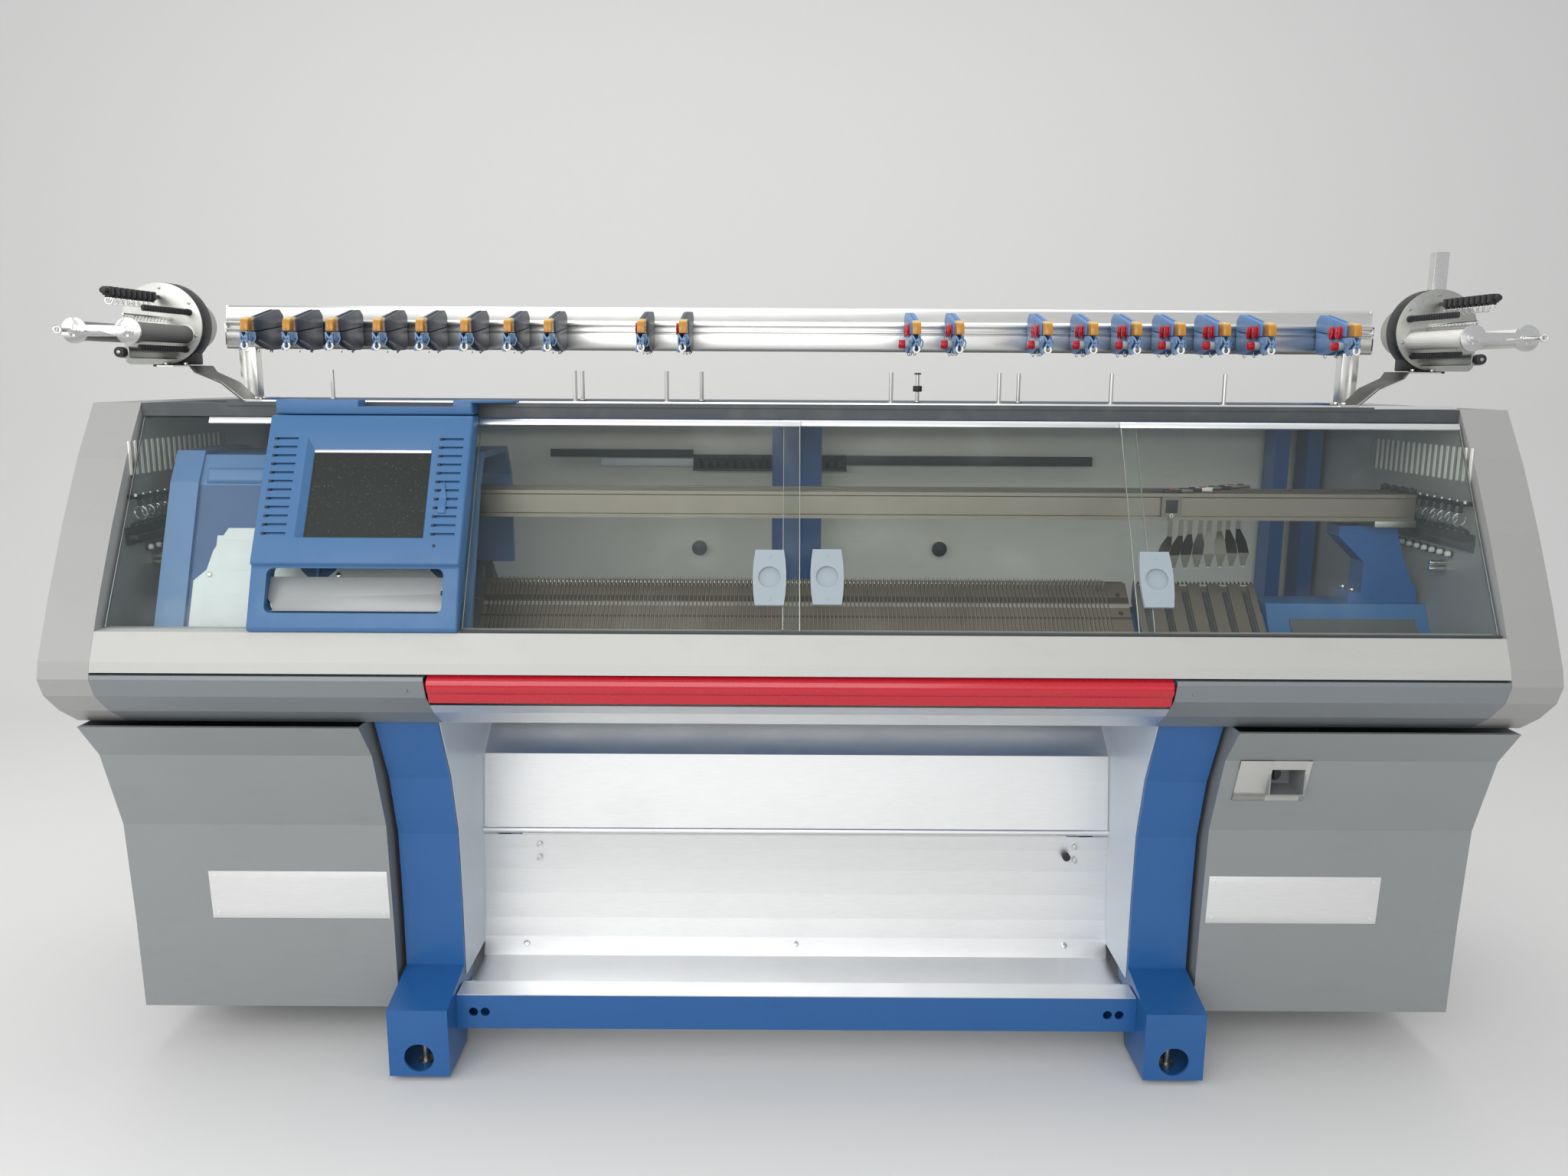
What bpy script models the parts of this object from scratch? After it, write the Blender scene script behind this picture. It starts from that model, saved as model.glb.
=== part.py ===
"""Flat knitting machine: steel stand, two sloping needle beds, a cam carriage, yarn guides on rails,
sliding windows, an operator panel, cabinets, a take-down bay and the yarn gear on top.

Metres, +Z up. X runs along the needle beds, the operator stands at -Y, and the origin lies on the floor
under the middle of the machine.
"""

import math

import bmesh
import bpy
from mathutils import Matrix, Vector

# Shared clearances
GAP = 0.0003
OVERRUN = 0.01
MERGE = 0.0001
ROUND_PROFILE = 0.5
RUNNING = 0.003

# Casing, whose silhouette the end covers, sill, fascias and panel share
CASING_HALF_WIDTH = 1.376
END_COVER_WIDTH = 0.093
CASING_REACH = 0.452
CASING_LOW = 0.749
CASING_TOP = 1.345
COVER_WALL = 0.004
CASING_FRONT_SHARES = (
    (0.759, 0.0),
    (0.878, 0.059),
    (0.97, 0.125),
    (1.0, 0.183),
    (0.982, 0.235),
    (0.872, 0.416),
    (0.732, 0.624),
    (0.577, 0.829),
    (0.423, 1.0),
)
SIDE_SLOTS = 18
SIDE_SLOT_WIDTH = 0.004
SIDE_SLOT_LENGTH = 0.062
SIDE_SLOT_ROW = 0.36
SIDE_SLOT_DROP = 0.073
SIDE_SLOT_TOP = CASING_TOP - SIDE_SLOT_DROP
COVER_ROUND = 0.009

# Sill, fascias and the bar across the front
SHEET = 0.003
SILL_TOP = 0.94
SILL_HEIGHT = 0.07
SILL_FOOT = SILL_TOP - SILL_HEIGHT
SILL_LEDGE = 0.046
SILL_RETURN = 0.012
FASCIA_LIP = 0.03
BAR_HALF_LENGTH = 0.68
BAR_RADIUS = 0.02
BAR_DROP = 0.022
BAR_HEIGHT = SILL_FOOT - BAR_DROP
BAR_SLANT = 0.44
BAR_END_SPACE = 0.005
BEARING_AT = 0.712
BEARING_THICK = 0.004
BEARING_HALF = 0.012
BAR_LIP = 0.014
BAR_LIP_THICK = 0.006
BAR_SIDES = 24
BAR_TURN = math.radians(280)
BAR_TURN_START = math.radians(-50)
BAR_PIN_RADIUS = 0.006
RAIL_STRIP_DROP = 0.052
RAIL_STRIP_TOP = SILL_FOOT - RAIL_STRIP_DROP

# Windows and doors, in the leaning plane
WINDOW_LEAN = math.radians(28)
GLASS = 0.004
TRACK_PITCH = 0.009
TRACK_INSET = 0.016
WINDOW_DROP = 0.027
WINDOW_TOP = CASING_TOP - WINDOW_DROP
WINDOW_SPACE = 0.005
WINDOW_END = CASING_HALF_WIDTH - END_COVER_WIDTH - WINDOW_SPACE
DOOR_OVERLAP = 0.033
DOOR_MIDDLE = 0.62
HANDLE_WIDTH = 0.062
HANDLE_HEIGHT = 0.108
HANDLE_THICK = 0.008
HANDLE_DISH = 0.021
HANDLE_DISH_DEPTH = 0.005
HANDLE_UP = 0.105
HANDLE_BULGE_SHARE = 0.86
HANDLE_SIDE_SHARES = (-1, -0.6, -0.2, 0.2, 0.6, 1)
HANDLE_LEFT = -0.057
HANDLE_MIDDLE = 0.05
HANDLE_RIGHT = 0.66

# Deck on top of the casing, with its row of yarn pins
DECK_THICK = 0.025
DECK_DEPTH = 0.39
DECK_FRONT = -0.192
TRAY_HALF_WIDTH = 1.115
TRAY_RISE = 0.004
PIN_RADIUS = 0.004
PIN_HEIGHT = 0.062
PIN_ROW_FRONT = -0.165
PIN_ROW_BACK = 0.0
PIN_PLACES_FRONT = (-0.442, -0.262, 0.178, 0.39, 0.61, 0.832)
PIN_PLACES_BACK = (-0.98, -0.455, -0.205, 0.248, 0.46)

# Stand
LEG_INNER = 0.697
LEG_WIDTH = 0.121
LEG_PLATE = 0.005
LEG_ROUND = 0.004
LEG_DEPTH = 0.085
LEG_DROP = 0.003
LEG_TOP = CASING_LOW - LEG_DROP
FOOT_TOP = 0.155
FOOT_REACH = 0.352
FOOT_DEPTH = 0.13
FOOT_HOLE_RADIUS = 0.03
FOOT_HOLE_HEIGHT = 0.052
FLOOR_GAP = 0.012
LEG_CURVE_SHARES = (
    (0.923, 1.0),
    (0.733, 0.765),
    (0.636, 0.543),
    (0.616, 0.283),
    (0.614, 0.047),
)
STUD_RADIUS = 0.008
STUD_HEIGHT = 0.07
PAD_RADIUS = 0.024
PAD_NECK = 0.014
PAD_EDGE = 0.006
STUD_INSET = 0.045
BEAM_LOW = 0.08
BEAM_HEIGHT = 0.073
BEAM_HIGH = BEAM_LOW + BEAM_HEIGHT
BEAM_FRONT = -0.288
BEAM_DEPTH = 0.05
BEAM_HOLE_RADIUS = 0.0095
BEAM_HOLE_INSETS = (0.035, 0.059)
REAR_LEG_FRONT = 0.23
REAR_LEG_DEPTH = 0.12
REAR_RAIL_HEIGHT = 0.09

# Needle beds, sloping down from the gap between them
GAP_PLANE = -0.1
BED_GAP = 0.01
BED_TOP = 0.985
BED_SLOPE = 0.212
BED_SLANT = math.radians(45)
BED_THICK = 0.025
BED_HALF_LENGTH = 0.675
NEEDLES = 150
NEEDLE_PITCH = 0.00847
GROOVE_SHARE = 0.38
GROOVE_DEPTH = 0.004

# Bed frame under the needle beds and the clamp blocks at their ends
FRAME_FRONT_SPACE = 0.013068
FRAME_BACK_SPACE = 0.052
FRAME_FRONT_FOOT = FASCIA_LIP + FRAME_FRONT_SPACE - CASING_REACH * CASING_FRONT_SHARES[0][0]
FRAME_BACK_FOOT = CASING_REACH - FRAME_BACK_SPACE
FRAME_BACK_WEB = 0.15
FRAME_WEB = 0.05
BLOCK_START = 0.955
BLOCK_DROP = 0.035
BLOCK_TOP = BED_TOP - BLOCK_DROP
BLOCK_HALF_TOP = 0.042
CLAMP_SPACE = 0.015
CLAMP_START = BED_HALF_LENGTH + CLAMP_SPACE
CLAMP_END = BLOCK_START - CLAMP_SPACE
CLAMP_LANES = 6
THROAT = 0.032
CLAMP_SHARE = 0.95
BLOCK_SHOULDER_SHARE = 1.5

# Rails of the yarn guides
RAILS = 4
RAIL_PITCH = 0.035
RAIL_THICK = 0.008
RAIL_STAND = 0.137
RAIL_LOW = BED_TOP + RAIL_STAND
RAIL_DEPTH = 0.054
RAIL_HIGH = RAIL_LOW + RAIL_DEPTH
RAIL_HALF_LENGTH = 1.235
RAIL_LIP = 0.002
RAIL_LIP_HEIGHT = 0.007
SUPPORT_ARM_START = 1.1
SUPPORT_ARM_END = 1.215
SUPPORT_NECK_START = 1.155
SUPPORT_NECK_RISE = 0.085
SUPPORT_NECK_HEIGHT = BLOCK_TOP + SUPPORT_NECK_RISE
SUPPORT_BASE_START = 1.13
SUPPORT_BASE_END = 1.27
SUPPORT_BASE_HEIGHT = 0.022
SUPPORT_HALF_DEPTH = 0.028
SUPPORT_PLATE = 0.012

# Yarn guides
GUIDES = 8
GUIDE_START = 0.745
GUIDE_STEP = 0.026
GUIDE_SHOE_LENGTH = 0.02
GUIDE_SHOE_HEIGHT = 0.04
GUIDE_SHOE_THICK = 0.004
GUIDE_BLADE_THICK = 0.0016
GUIDE_TIP_PITCH = 0.0055
GUIDE_TIP_RISE = 0.033
GUIDE_TIP_HEIGHT = BED_TOP + GUIDE_TIP_RISE
GUIDE_STRAIGHT_RISE = 0.027
GUIDE_WIDE_RISE = 0.05
GUIDE_BEND_RISE = 0.072
GUIDE_BEND_HEIGHT = GUIDE_TIP_HEIGHT + GUIDE_BEND_RISE
GUIDE_STRAIGHT_HEIGHT = GUIDE_TIP_HEIGHT + GUIDE_STRAIGHT_RISE
GUIDE_WIDE_HEIGHT = GUIDE_TIP_HEIGHT + GUIDE_WIDE_RISE
GUIDE_BLADE_WIDTH = 0.022
GUIDE_TIP_WIDTH = 0.007
GUIDE_NECK_WIDTH = 0.009

# Carriage
CARRIAGE_START = -1.222
CARRIAGE_LENGTH = 0.6
COVER_RISE = 0.069
COVER_TOP = RAIL_HIGH + COVER_RISE
COVER_SHEET = 0.004
COVER_DROP = 0.055
COVER_FOOT = SILL_TOP - COVER_DROP
BOW_CLEAR = 0.014
BOW_THICK = 0.022
CAM_THICK = 0.04
CAM_MARGIN = 0.02
BOW_HALF_INNER = 0.088
BOW_LENGTH = 0.16
CAM_RUNNING = 0.0005
COVER_STAND = 0.105
COVER_BEHIND = 0.035
COVER_KNEE_SHARE = 0.86
COVER_LEAN = math.radians(21.8)
COVER_SHOULDER = 0.03
COVER_BACK_RISE = 0.015
COVER_BACK_FOOT = BED_TOP + COVER_BACK_RISE
COVER_BAND = 0.055
COVER_BAND_RISE = 0.008

# Operator panel
PANEL_LEFT = -1.005
PANEL_RIGHT = -0.622
PANEL_DROP = 0.02
PANEL_TOP = CASING_TOP - PANEL_DROP
PANEL_STEP_RISE = 0.122
PANEL_STEP = SILL_TOP + PANEL_STEP_RISE
PANEL_FOOT_RISE = 0.005
PANEL_FOOT = SILL_TOP + PANEL_FOOT_RISE
PANEL_STAND = 0.052
PANEL_STEP_IN = 0.006
PANEL_ROUND = 0.006
SCREEN_LEFT_SHARE = 0.195
SCREEN_RIGHT_SHARE = 0.835
SCREEN_LOW_SHARE = 0.17
SCREEN_HIGH_SHARE = 0.86
SCREEN_RECESS = 0.012
SCREEN_THICK = 0.003
VENTS = 12
VENT_LENGTH = 0.045
VENT_HEIGHT = 0.0025
VENT_DEPTH = 0.006
VENT_EDGE_SHARE = 0.035
SIDE_VENT_LOW_SHARE = 0.19
SIDE_VENT_HIGH_SHARE = 0.83
WINDOW_MARGIN = 0.03
TRAY_SHEET = 0.002
TRAY_HEIGHT = 0.06
TRAY_NOTCH = 0.012
TRAY_STAND = 0.02

# Cabinets
CABINET_SPACE = 0.012
CABINET_INSET = 0.016
CABINET_INNER = LEG_INNER + LEG_WIDTH + CABINET_SPACE
CABINET_OUTER = CASING_HALF_WIDTH - CABINET_INSET
CABINET_LOW = 0.1
CABINET_TOP = LEG_TOP - GAP
CABINET_BACK_SPACE = 0.022
CABINET_BACK = CASING_REACH - CABINET_BACK_SPACE
CABINET_WALL = 0.003
CABINET_ROUND = 0.006
CABINET_FRONT_SHARES = (
    (0.83, 1.0),
    (0.695, 0.885),
    (0.569, 0.63),
    (0.542, 0.3),
    (0.531, 0.0),
)
PORT_LEFT = 0.925
PORT_RIGHT = 0.99
PORT_LOW = 0.6
PORT_HIGH = 0.652
SWITCH_RADIUS = 0.013
SWITCH_SHAFT = 0.004
SWITCH_LENGTH = 0.05
SWITCH_CAP = 0.012
SWITCH_KNOB_SHARE = 0.7
SWITCH_NECK_SHARE = 0.6

# Take-down bay
LINER_SHEET = 0.002
FLAP_THICK = 0.004
FLAP_TOP_BACK = 0.072
FLAP_TOP_HEIGHT = 0.631
FLAP_EDGE_BACK = -0.004
FLAP_EDGE_HEIGHT = 0.576
FLAP_FOOT_BACK = -0.03
FLAP_FOOT_HEIGHT = 0.407
HINGE_RADIUS = 0.007
BAY_PANEL_FOOT_BACK = -0.064
BAY_SHEET = 0.002
BAY_TRAY_HEIGHT = 0.125
BAY_HOLLOW = -0.004
BAY_CURVE_SHARES = (0.12, 0.3, 0.5, 0.7, 0.85, 1)
LINER_BACK = 0.1
ROLLER_RADIUS = 0.028
ROLLER_DROP = 0.041
ROLLER_HEIGHT = LEG_TOP - ROLLER_DROP
ROLLER_BACK = 0.05
ROLLER_SIDES = 20
ROLLER_SHOULDER = 0.012

# Back of the casing
REAR_SHEET = 0.002
REAR_FOLD = 0.028
REAR_RISE = 0.011
REAR_LOW = CASING_LOW + REAR_RISE
REAR_POST_HALF = 0.06
PLUG_RADIUS = 0.019
PLUG_HEIGHT = 0.976
PLUG_PLACES = (-0.243, 0.36)
UPRIGHT_RAIL = 0.05
POST_DEPTH = 0.07
POST_THICK = 0.034
POST_PLACES = (1.157, 1.236)

# Yarn beam with its control units
YARN_BEAM_HALF = 1.24
YARN_BEAM_BACK = 0.12
YARN_BEAM_DEPTH = 0.03
YARN_BEAM_STAND = 0.11
YARN_BEAM_HEIGHT = 0.092
YARN_BEAM_LOW = CASING_TOP + YARN_BEAM_STAND
YARN_BEAM_HIGH = YARN_BEAM_LOW + YARN_BEAM_HEIGHT
YARN_BEAM_GROOVE = 0.006
YARN_BEAM_STEP_SHARES = (0.66, 0.6, 0.44, 0.38)
YARN_POST = 0.036
YARN_POST_AT = 1.195
UNIT_WIDTH = 0.03
UNIT_LENGTH = 0.19
UNIT_DROP = 0.005
UNIT_HEIGHT = 0.08
UNIT_LOW = YARN_BEAM_LOW - UNIT_DROP
UNIT_HIGH = UNIT_LOW + UNIT_HEIGHT
UNIT_PLACES = (-1.12, -1.035, -0.948, -0.853, -0.767, -0.677, -0.59, -0.509, -0.321, -0.237,
               0.235, 0.322, 0.5, 0.592, 0.68, 0.768, 0.859, 0.95, 1.122)
UNIT_SHARES = (
    (0.0, 0.78),
    (0.0, 0.52),
    (0.18, 0.42),
    (0.22, 0.05),
    (0.62, 0.0),
    (1.0, 0.2),
    (1.0, 0.86),
    (0.88, 1.0),
)

# Friction feeders at both ends of the yarn beam
DRUM_X = 1.379
MOTOR_OFFSET = 0.012
DRUM_RISE = 0.052
DRUM_HEIGHT = YARN_BEAM_LOW + DRUM_RISE
DRUM_RADIUS = 0.088
DRUM_FRONT = 0.1
DRUM_DEPTH = 0.045
MOTOR_RADIUS = 0.055
MOTOR_DEPTH = 0.07
ROLL_INNER = 1.331
ROLL_OUTER = 1.437
ROLL_DROP = 0.023
ROLL_HEIGHT = DRUM_HEIGHT - ROLL_DROP
ROLL_RADIUS = 0.019
ROLL_BORE = 0.0075
ROLL_LENGTH = 0.22
AXLE_RADIUS = 0.0065
LINK_RADIUS = 0.026
LINK_THICK = 0.004
LINK_WAIST = 0.011
PLATE_RADIUS = 0.026
ROLL_END_GAP = 0.0005
COMB_RISE = 0.056
COMB_HEIGHT = DRUM_HEIGHT + COMB_RISE
COMB_X = 1.385
COMB_RADIUS = 0.007
COMB_LENGTH = 0.205
CHANNEL_X = 1.378
CHANNEL_RISE = 0.165
CHANNEL_TOP = DRUM_HEIGHT + CHANNEL_RISE
CHANNEL_WIDTH = 0.03
CHANNEL_DEPTH = 0.022
CHANNEL_WALL = 0.003
ARM_SHEET = 0.006
ARM_FOOT_X = 1.085
ARM_FOOT_LENGTH = 0.035
ARM_FOOT_FRONT = -0.188
ARM_FOOT_BACK = -0.118
ARM_BEND_X = 1.165
ARM_BEND_RISE = 0.032
ARM_KNEE_X = 1.275
ARM_KNEE_DROP = 0.017
ARM_SHOULDER_X = 1.297
ARM_FRONT_X = 1.31
ARM_FRONT = 0.055
ARM_END_FRONT = 0.085

PARTS = "flat_knitting_machine"
CUTTERS = "cutters"
FINISHES = {
    "silver": ((0.62, 0.62, 0.60), 0.4, 0.6),
    "light": ((0.72, 0.72, 0.71), 0.45, 0.3),
    "blue": ((0.10, 0.24, 0.50), 0.5, 0.0),
    "red": ((0.65, 0.02, 0.04), 0.35, 0.0),
    "dark": ((0.05, 0.05, 0.06), 0.45, 0.0),
    "steel": ((0.42, 0.40, 0.37), 0.35, 0.9),
    "aluminium": ((0.78, 0.78, 0.78), 0.35, 0.8),
    "glass": ((0.80, 0.84, 0.84), 0.05, 0.0),
    "pale": ((0.66, 0.74, 0.80), 0.4, 0.0),
    "zinc": ((0.6, 0.6, 0.58), 0.4, 0.8),
}


def clear_scene():
    for obj in list(bpy.data.objects):
        bpy.data.objects.remove(obj, do_unlink=True)


def collection(name):
    found = bpy.data.collections.get(name)
    if found is None:
        found = bpy.data.collections.new(name)
        bpy.context.scene.collection.children.link(found)
    return found


def material(name, finish):
    colour, roughness, metallic = FINISHES[finish]
    made = bpy.data.materials.new(name)
    made.use_nodes = True
    shader = made.node_tree.nodes["Principled BSDF"]
    shader.inputs["Base Color"].default_value = (*colour, 1.0)
    shader.inputs["Roughness"].default_value = roughness
    shader.inputs["Metallic"].default_value = metallic
    return made


def as_node(obj, name, finish):
    """Name a finished piece, give it its own material and put it with the parts."""
    obj.name = name
    obj.data.name = name
    obj.data.materials.clear()
    obj.data.materials.append(material(name, finish))
    return obj


def as_cutter(obj):
    obj.hide_render = True
    obj.display_type = "WIRE"
    for owner in list(obj.users_collection):
        owner.objects.unlink(obj)
    collection(CUTTERS).objects.link(obj)
    return obj


def mesh_object(name, bm, matrix=None):
    mesh = bpy.data.meshes.new(name)
    bm.to_mesh(mesh)
    bm.free()
    obj = bpy.data.objects.new(name, mesh)
    if matrix is not None:
        obj.matrix_world = matrix
    collection(PARTS).objects.link(obj)
    return obj


def box(name, low, high):
    """A block between two corners, its size in the mesh and its middle as the object's place."""
    low, high = Vector(low), Vector(high)
    bm = bmesh.new()
    bmesh.ops.create_cube(bm, size=1)
    bmesh.ops.scale(bm, vec=high - low, verts=bm.verts)
    return mesh_object(name, bm, Matrix.Translation((low + high) / 2))


def rod(name, start, end, radius, sides):
    """A round bar between two points."""
    start, end = Vector(start), Vector(end)
    along = end - start
    bm = bmesh.new()
    bmesh.ops.create_cone(bm, cap_ends=True, segments=sides, radius1=radius, radius2=radius,
                          depth=along.length)
    turn = Vector((0, 0, 1)).rotation_difference(along.normalized())
    return mesh_object(name, bm, Matrix.Translation((start + end) / 2) @ turn.to_matrix().to_4x4())


# Planes of an outline: the columns say where its own x, y and thickness point
PLANES = {
    "yz": Matrix(((0, 0, 1), (1, 0, 0), (0, 1, 0))),
    "xz": Matrix(((1, 0, 0), (0, 0, -1), (0, 1, 0))),
    "xy": Matrix(((1, 0, 0), (0, 1, 0), (0, 0, 1))),
}


def outline_solid(name, loops, start, end, plane="yz", frame=None):
    """Flat outlines, the first with the others as its holes, drawn out from start to end."""
    low, high = sorted((-start, -end) if plane == "xz" else (start, end))
    place = PLANES[plane].to_4x4() @ Matrix.Translation((0, 0, low))
    if frame is not None:
        place = frame @ place
    bm = bmesh.new()
    if len(loops) == 1:
        bm.faces.new([bm.verts.new((a, b, 0)) for a, b in loops[0]])
    else:
        edges = []
        for loop in loops:
            verts = [bm.verts.new((a, b, 0)) for a, b in loop]
            edges += [bm.edges.new(pair) for pair in zip(verts, verts[1:] + verts[:1])]
        bmesh.ops.triangle_fill(bm, use_beauty=True, edges=edges)
    grown = bmesh.ops.extrude_face_region(bm, geom=list(bm.faces))
    raised = [item for item in grown["geom"] if isinstance(item, bmesh.types.BMVert)]
    bmesh.ops.translate(bm, vec=(0, 0, high - low), verts=raised)
    bmesh.ops.recalc_face_normals(bm, faces=bm.faces)
    return mesh_object(name, bm, place)


def boolean(target, tool, operation):
    modifier = target.modifiers.new(operation.lower(), "BOOLEAN")
    modifier.operation = operation
    modifier.solver = "EXACT"
    modifier.object = as_cutter(tool)
    return target


def cut(target, *tools):
    for tool in tools:
        boolean(target, tool, "DIFFERENCE")
    return target


def weld_on(target, *tools):
    for tool in tools:
        boolean(target, tool, "UNION")
    return target


def round_edges(obj, width, segments=2, angle=math.radians(40)):
    modifier = obj.modifiers.new("rounded", "BEVEL")
    modifier.width = width
    modifier.segments = segments
    modifier.limit_method = "ANGLE"
    modifier.angle_limit = angle
    return obj


def round_rim(obj, x, width, segments=3):
    """Round the edges of a drawn solid that lie in one of its end faces."""
    bm = bmesh.new()
    bm.from_mesh(obj.data)
    edges = [edge for edge in bm.edges if all(abs(vertex.co.x - x) < MERGE for vertex in edge.verts)]
    bmesh.ops.bevel(bm, geom=edges, offset=width, segments=segments, profile=ROUND_PROFILE, affect="EDGES",
                    clamp_overlap=True)
    bm.to_mesh(obj.data)
    bm.free()
    return obj


def slant_end(obj, x, height, slope):
    """Lean an end face of a drawn solid inwards below a height."""
    side = x / abs(x)
    for vertex in obj.data.vertices:
        if abs(vertex.co.x - x) < MERGE:
            vertex.co.x -= side * (height - vertex.co.z) * slope
    return obj


def joined(name, pieces):
    """One mesh of several closed shapes that don't touch, for use as a cutter or a set of bosses."""
    bm = bmesh.new()
    for piece in pieces:
        part = bmesh.new()
        part.from_mesh(piece.data)
        part.transform(piece.matrix_world)
        mesh = bpy.data.meshes.new(name)
        part.to_mesh(mesh)
        part.free()
        bm.from_mesh(mesh)
        bpy.data.meshes.remove(mesh)
        bpy.data.objects.remove(piece, do_unlink=True)
    return mesh_object(name, bm)


def carried_by(name, anchor, *pieces):
    """Hang pieces on an empty that stands on their joint's axis."""
    axle = bpy.data.objects.new(name, None)
    axle.location = anchor
    collection(PARTS).objects.link(axle)
    bpy.context.view_layer.update()
    for piece in pieces:
        piece.parent = axle
        piece.matrix_parent_inverse = axle.matrix_world.inverted()
    return axle


def sheet_outline(path, thick):
    """The outline of a bent sheet: the path and its copy, moved to its left by the sheet's thickness."""
    side = []
    for index, (a, b) in enumerate(path):
        before = path[max(index - 1, 0)]
        after = path[min(index + 1, len(path) - 1)]
        normals = []
        for p, q in ((before, (a, b)), ((a, b), after)):
            run = math.dist(p, q)
            if run > 0:
                normals.append((-(q[1] - p[1]) / run, (q[0] - p[0]) / run))
        mean = [sum(n[k] for n in normals) for k in (0, 1)]
        size = math.hypot(*mean)
        mean = [part / size for part in mean]
        mitre = thick / (mean[0] * normals[0][0] + mean[1] * normals[0][1])
        side.append((a + mean[0] * mitre, b + mean[1] * mitre))
    return [*path, *reversed(side)]


def arc(centre, radius, start, end, count):
    """Points along an arc, angles in radians from the outline's first axis."""
    return [
        (centre[0] + radius * math.cos(start + (end - start) * i / count),
         centre[1] + radius * math.sin(start + (end - start) * i / count))
        for i in range(count + 1)
    ]


def casing_front():
    """The front edge of the casing's silhouette as (y, z), from its lower lip to its top."""
    return [
        (-CASING_REACH * out, CASING_LOW + (CASING_TOP - CASING_LOW) * up)
        for out, up in CASING_FRONT_SHARES
    ]


def front_at(height):
    """How far forward the casing stands at a height."""
    points = casing_front()
    for (y0, z0), (y1, z1) in zip(points, points[1:]):
        if z0 <= height <= z1:
            return y0 + (y1 - y0) * (height - z0) / (z1 - z0)
    return points[0][0] if height < points[0][1] else points[-1][0]


def casing_between(low, high):
    """The silhouette's points from one height up to another."""
    inner = [(y, z) for y, z in casing_front() if low < z < high]
    return [(front_at(low), low), *inner, (front_at(high), high)]


def end_cover(name, side):
    """A moulded end cap, open underneath, with air slots in its inner wall."""
    outer = side * CASING_HALF_WIDTH
    inner = side * (CASING_HALF_WIDTH - END_COVER_WIDTH)
    outline = [*casing_front(), (CASING_REACH, CASING_TOP), (CASING_REACH, CASING_LOW)]
    cover = outline_solid(name, [outline], inner, outer)
    round_rim(cover, outer, COVER_ROUND)
    wall = COVER_WALL
    hollow = [(y + wall * 2, z) for y, z in casing_front() if z < CASING_TOP - wall]
    hollow = [(hollow[0][0], CASING_LOW - OVERRUN), *hollow,
              (front_at(CASING_TOP - wall) + wall * 2, CASING_TOP - wall),
              (CASING_REACH - wall, CASING_TOP - wall), (CASING_REACH - wall, CASING_LOW - OVERRUN)]
    cut(cover, outline_solid(name + "_hollow", [hollow], inner + side * wall, outer - side * wall))
    pitch = SIDE_SLOT_ROW / SIDE_SLOTS
    first = front_at(SIDE_SLOT_TOP) + pitch * 2
    slots = [
        box("slot",
            (min(inner - side * OVERRUN, inner + side * wall * 2), first + i * pitch,
             SIDE_SLOT_TOP - SIDE_SLOT_LENGTH),
            (max(inner - side * OVERRUN, inner + side * wall * 2),
             first + i * pitch + SIDE_SLOT_WIDTH, SIDE_SLOT_TOP))
        for i in range(SIDE_SLOTS)
    ]
    cut(cover, joined(name + "_slots", slots))
    return as_node(cover, name, "silver")


def end_covers():
    end_cover("end_cover_left", -1)
    end_cover("end_cover_right", 1)


def inner_half_width():
    return CASING_HALF_WIDTH - END_COVER_WIDTH


def front_sill():
    """The light panel under the windows, folded back at its top into the ledge that they run on."""
    half = inner_half_width() - GAP
    ledge_back = front_at(SILL_TOP) + SILL_LEDGE
    path = [(ledge_back, SILL_TOP - SILL_RETURN), (ledge_back, SILL_TOP),
            *reversed(casing_between(SILL_FOOT, SILL_TOP)),
            (front_at(SILL_FOOT) + FASCIA_LIP, SILL_FOOT)]
    sill = outline_solid("front_sill", [sheet_outline(path, SHEET)], -half, half)
    return as_node(sill, "front_sill", "light")


def fascia(name, side):
    """The lower front cover beside the bar, rolled round the nose."""
    path = [(front_at(SILL_FOOT) + FASCIA_LIP, SILL_FOOT - SHEET * 1.5 - GAP),
            *reversed(casing_between(CASING_LOW, SILL_FOOT - SHEET * 1.5 - GAP)),
            (casing_front()[0][0] + FASCIA_LIP, CASING_LOW)]
    start = side * (BAR_HALF_LENGTH + GAP)
    end = side * (inner_half_width() - GAP)
    made = outline_solid(name, [sheet_outline(path, SHEET)], start, end)
    slant_end(made, start, SILL_FOOT, BAR_SLANT)
    weld_on(made, bar_bearing(name, side))
    return as_node(made, name, "silver")


def bar_bearing(name, side):
    """The plate behind the fascia's end in which the red bar's pin turns."""
    x = side * BEARING_AT
    y, half = bar_axis(), BEARING_HALF
    low, high = sorted((x, x + side * BEARING_THICK))
    plate = box(name + "_bearing", (low, front_at(BAR_HEIGHT) + SHEET / 2, BAR_HEIGHT - half),
                (high, y + half, BAR_HEIGHT + half))
    cut(plate, rod(name + "_bearing_hole", (low - OVERRUN, y, BAR_HEIGHT), (high + OVERRUN, y, BAR_HEIGHT),
                   BAR_PIN_RADIUS + GAP, 24))
    return plate


def fascias():
    fascia("front_fascia_left", -1)
    fascia("front_fascia_right", 1)


def bar_axis():
    return -CASING_REACH + BAR_RADIUS


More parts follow.
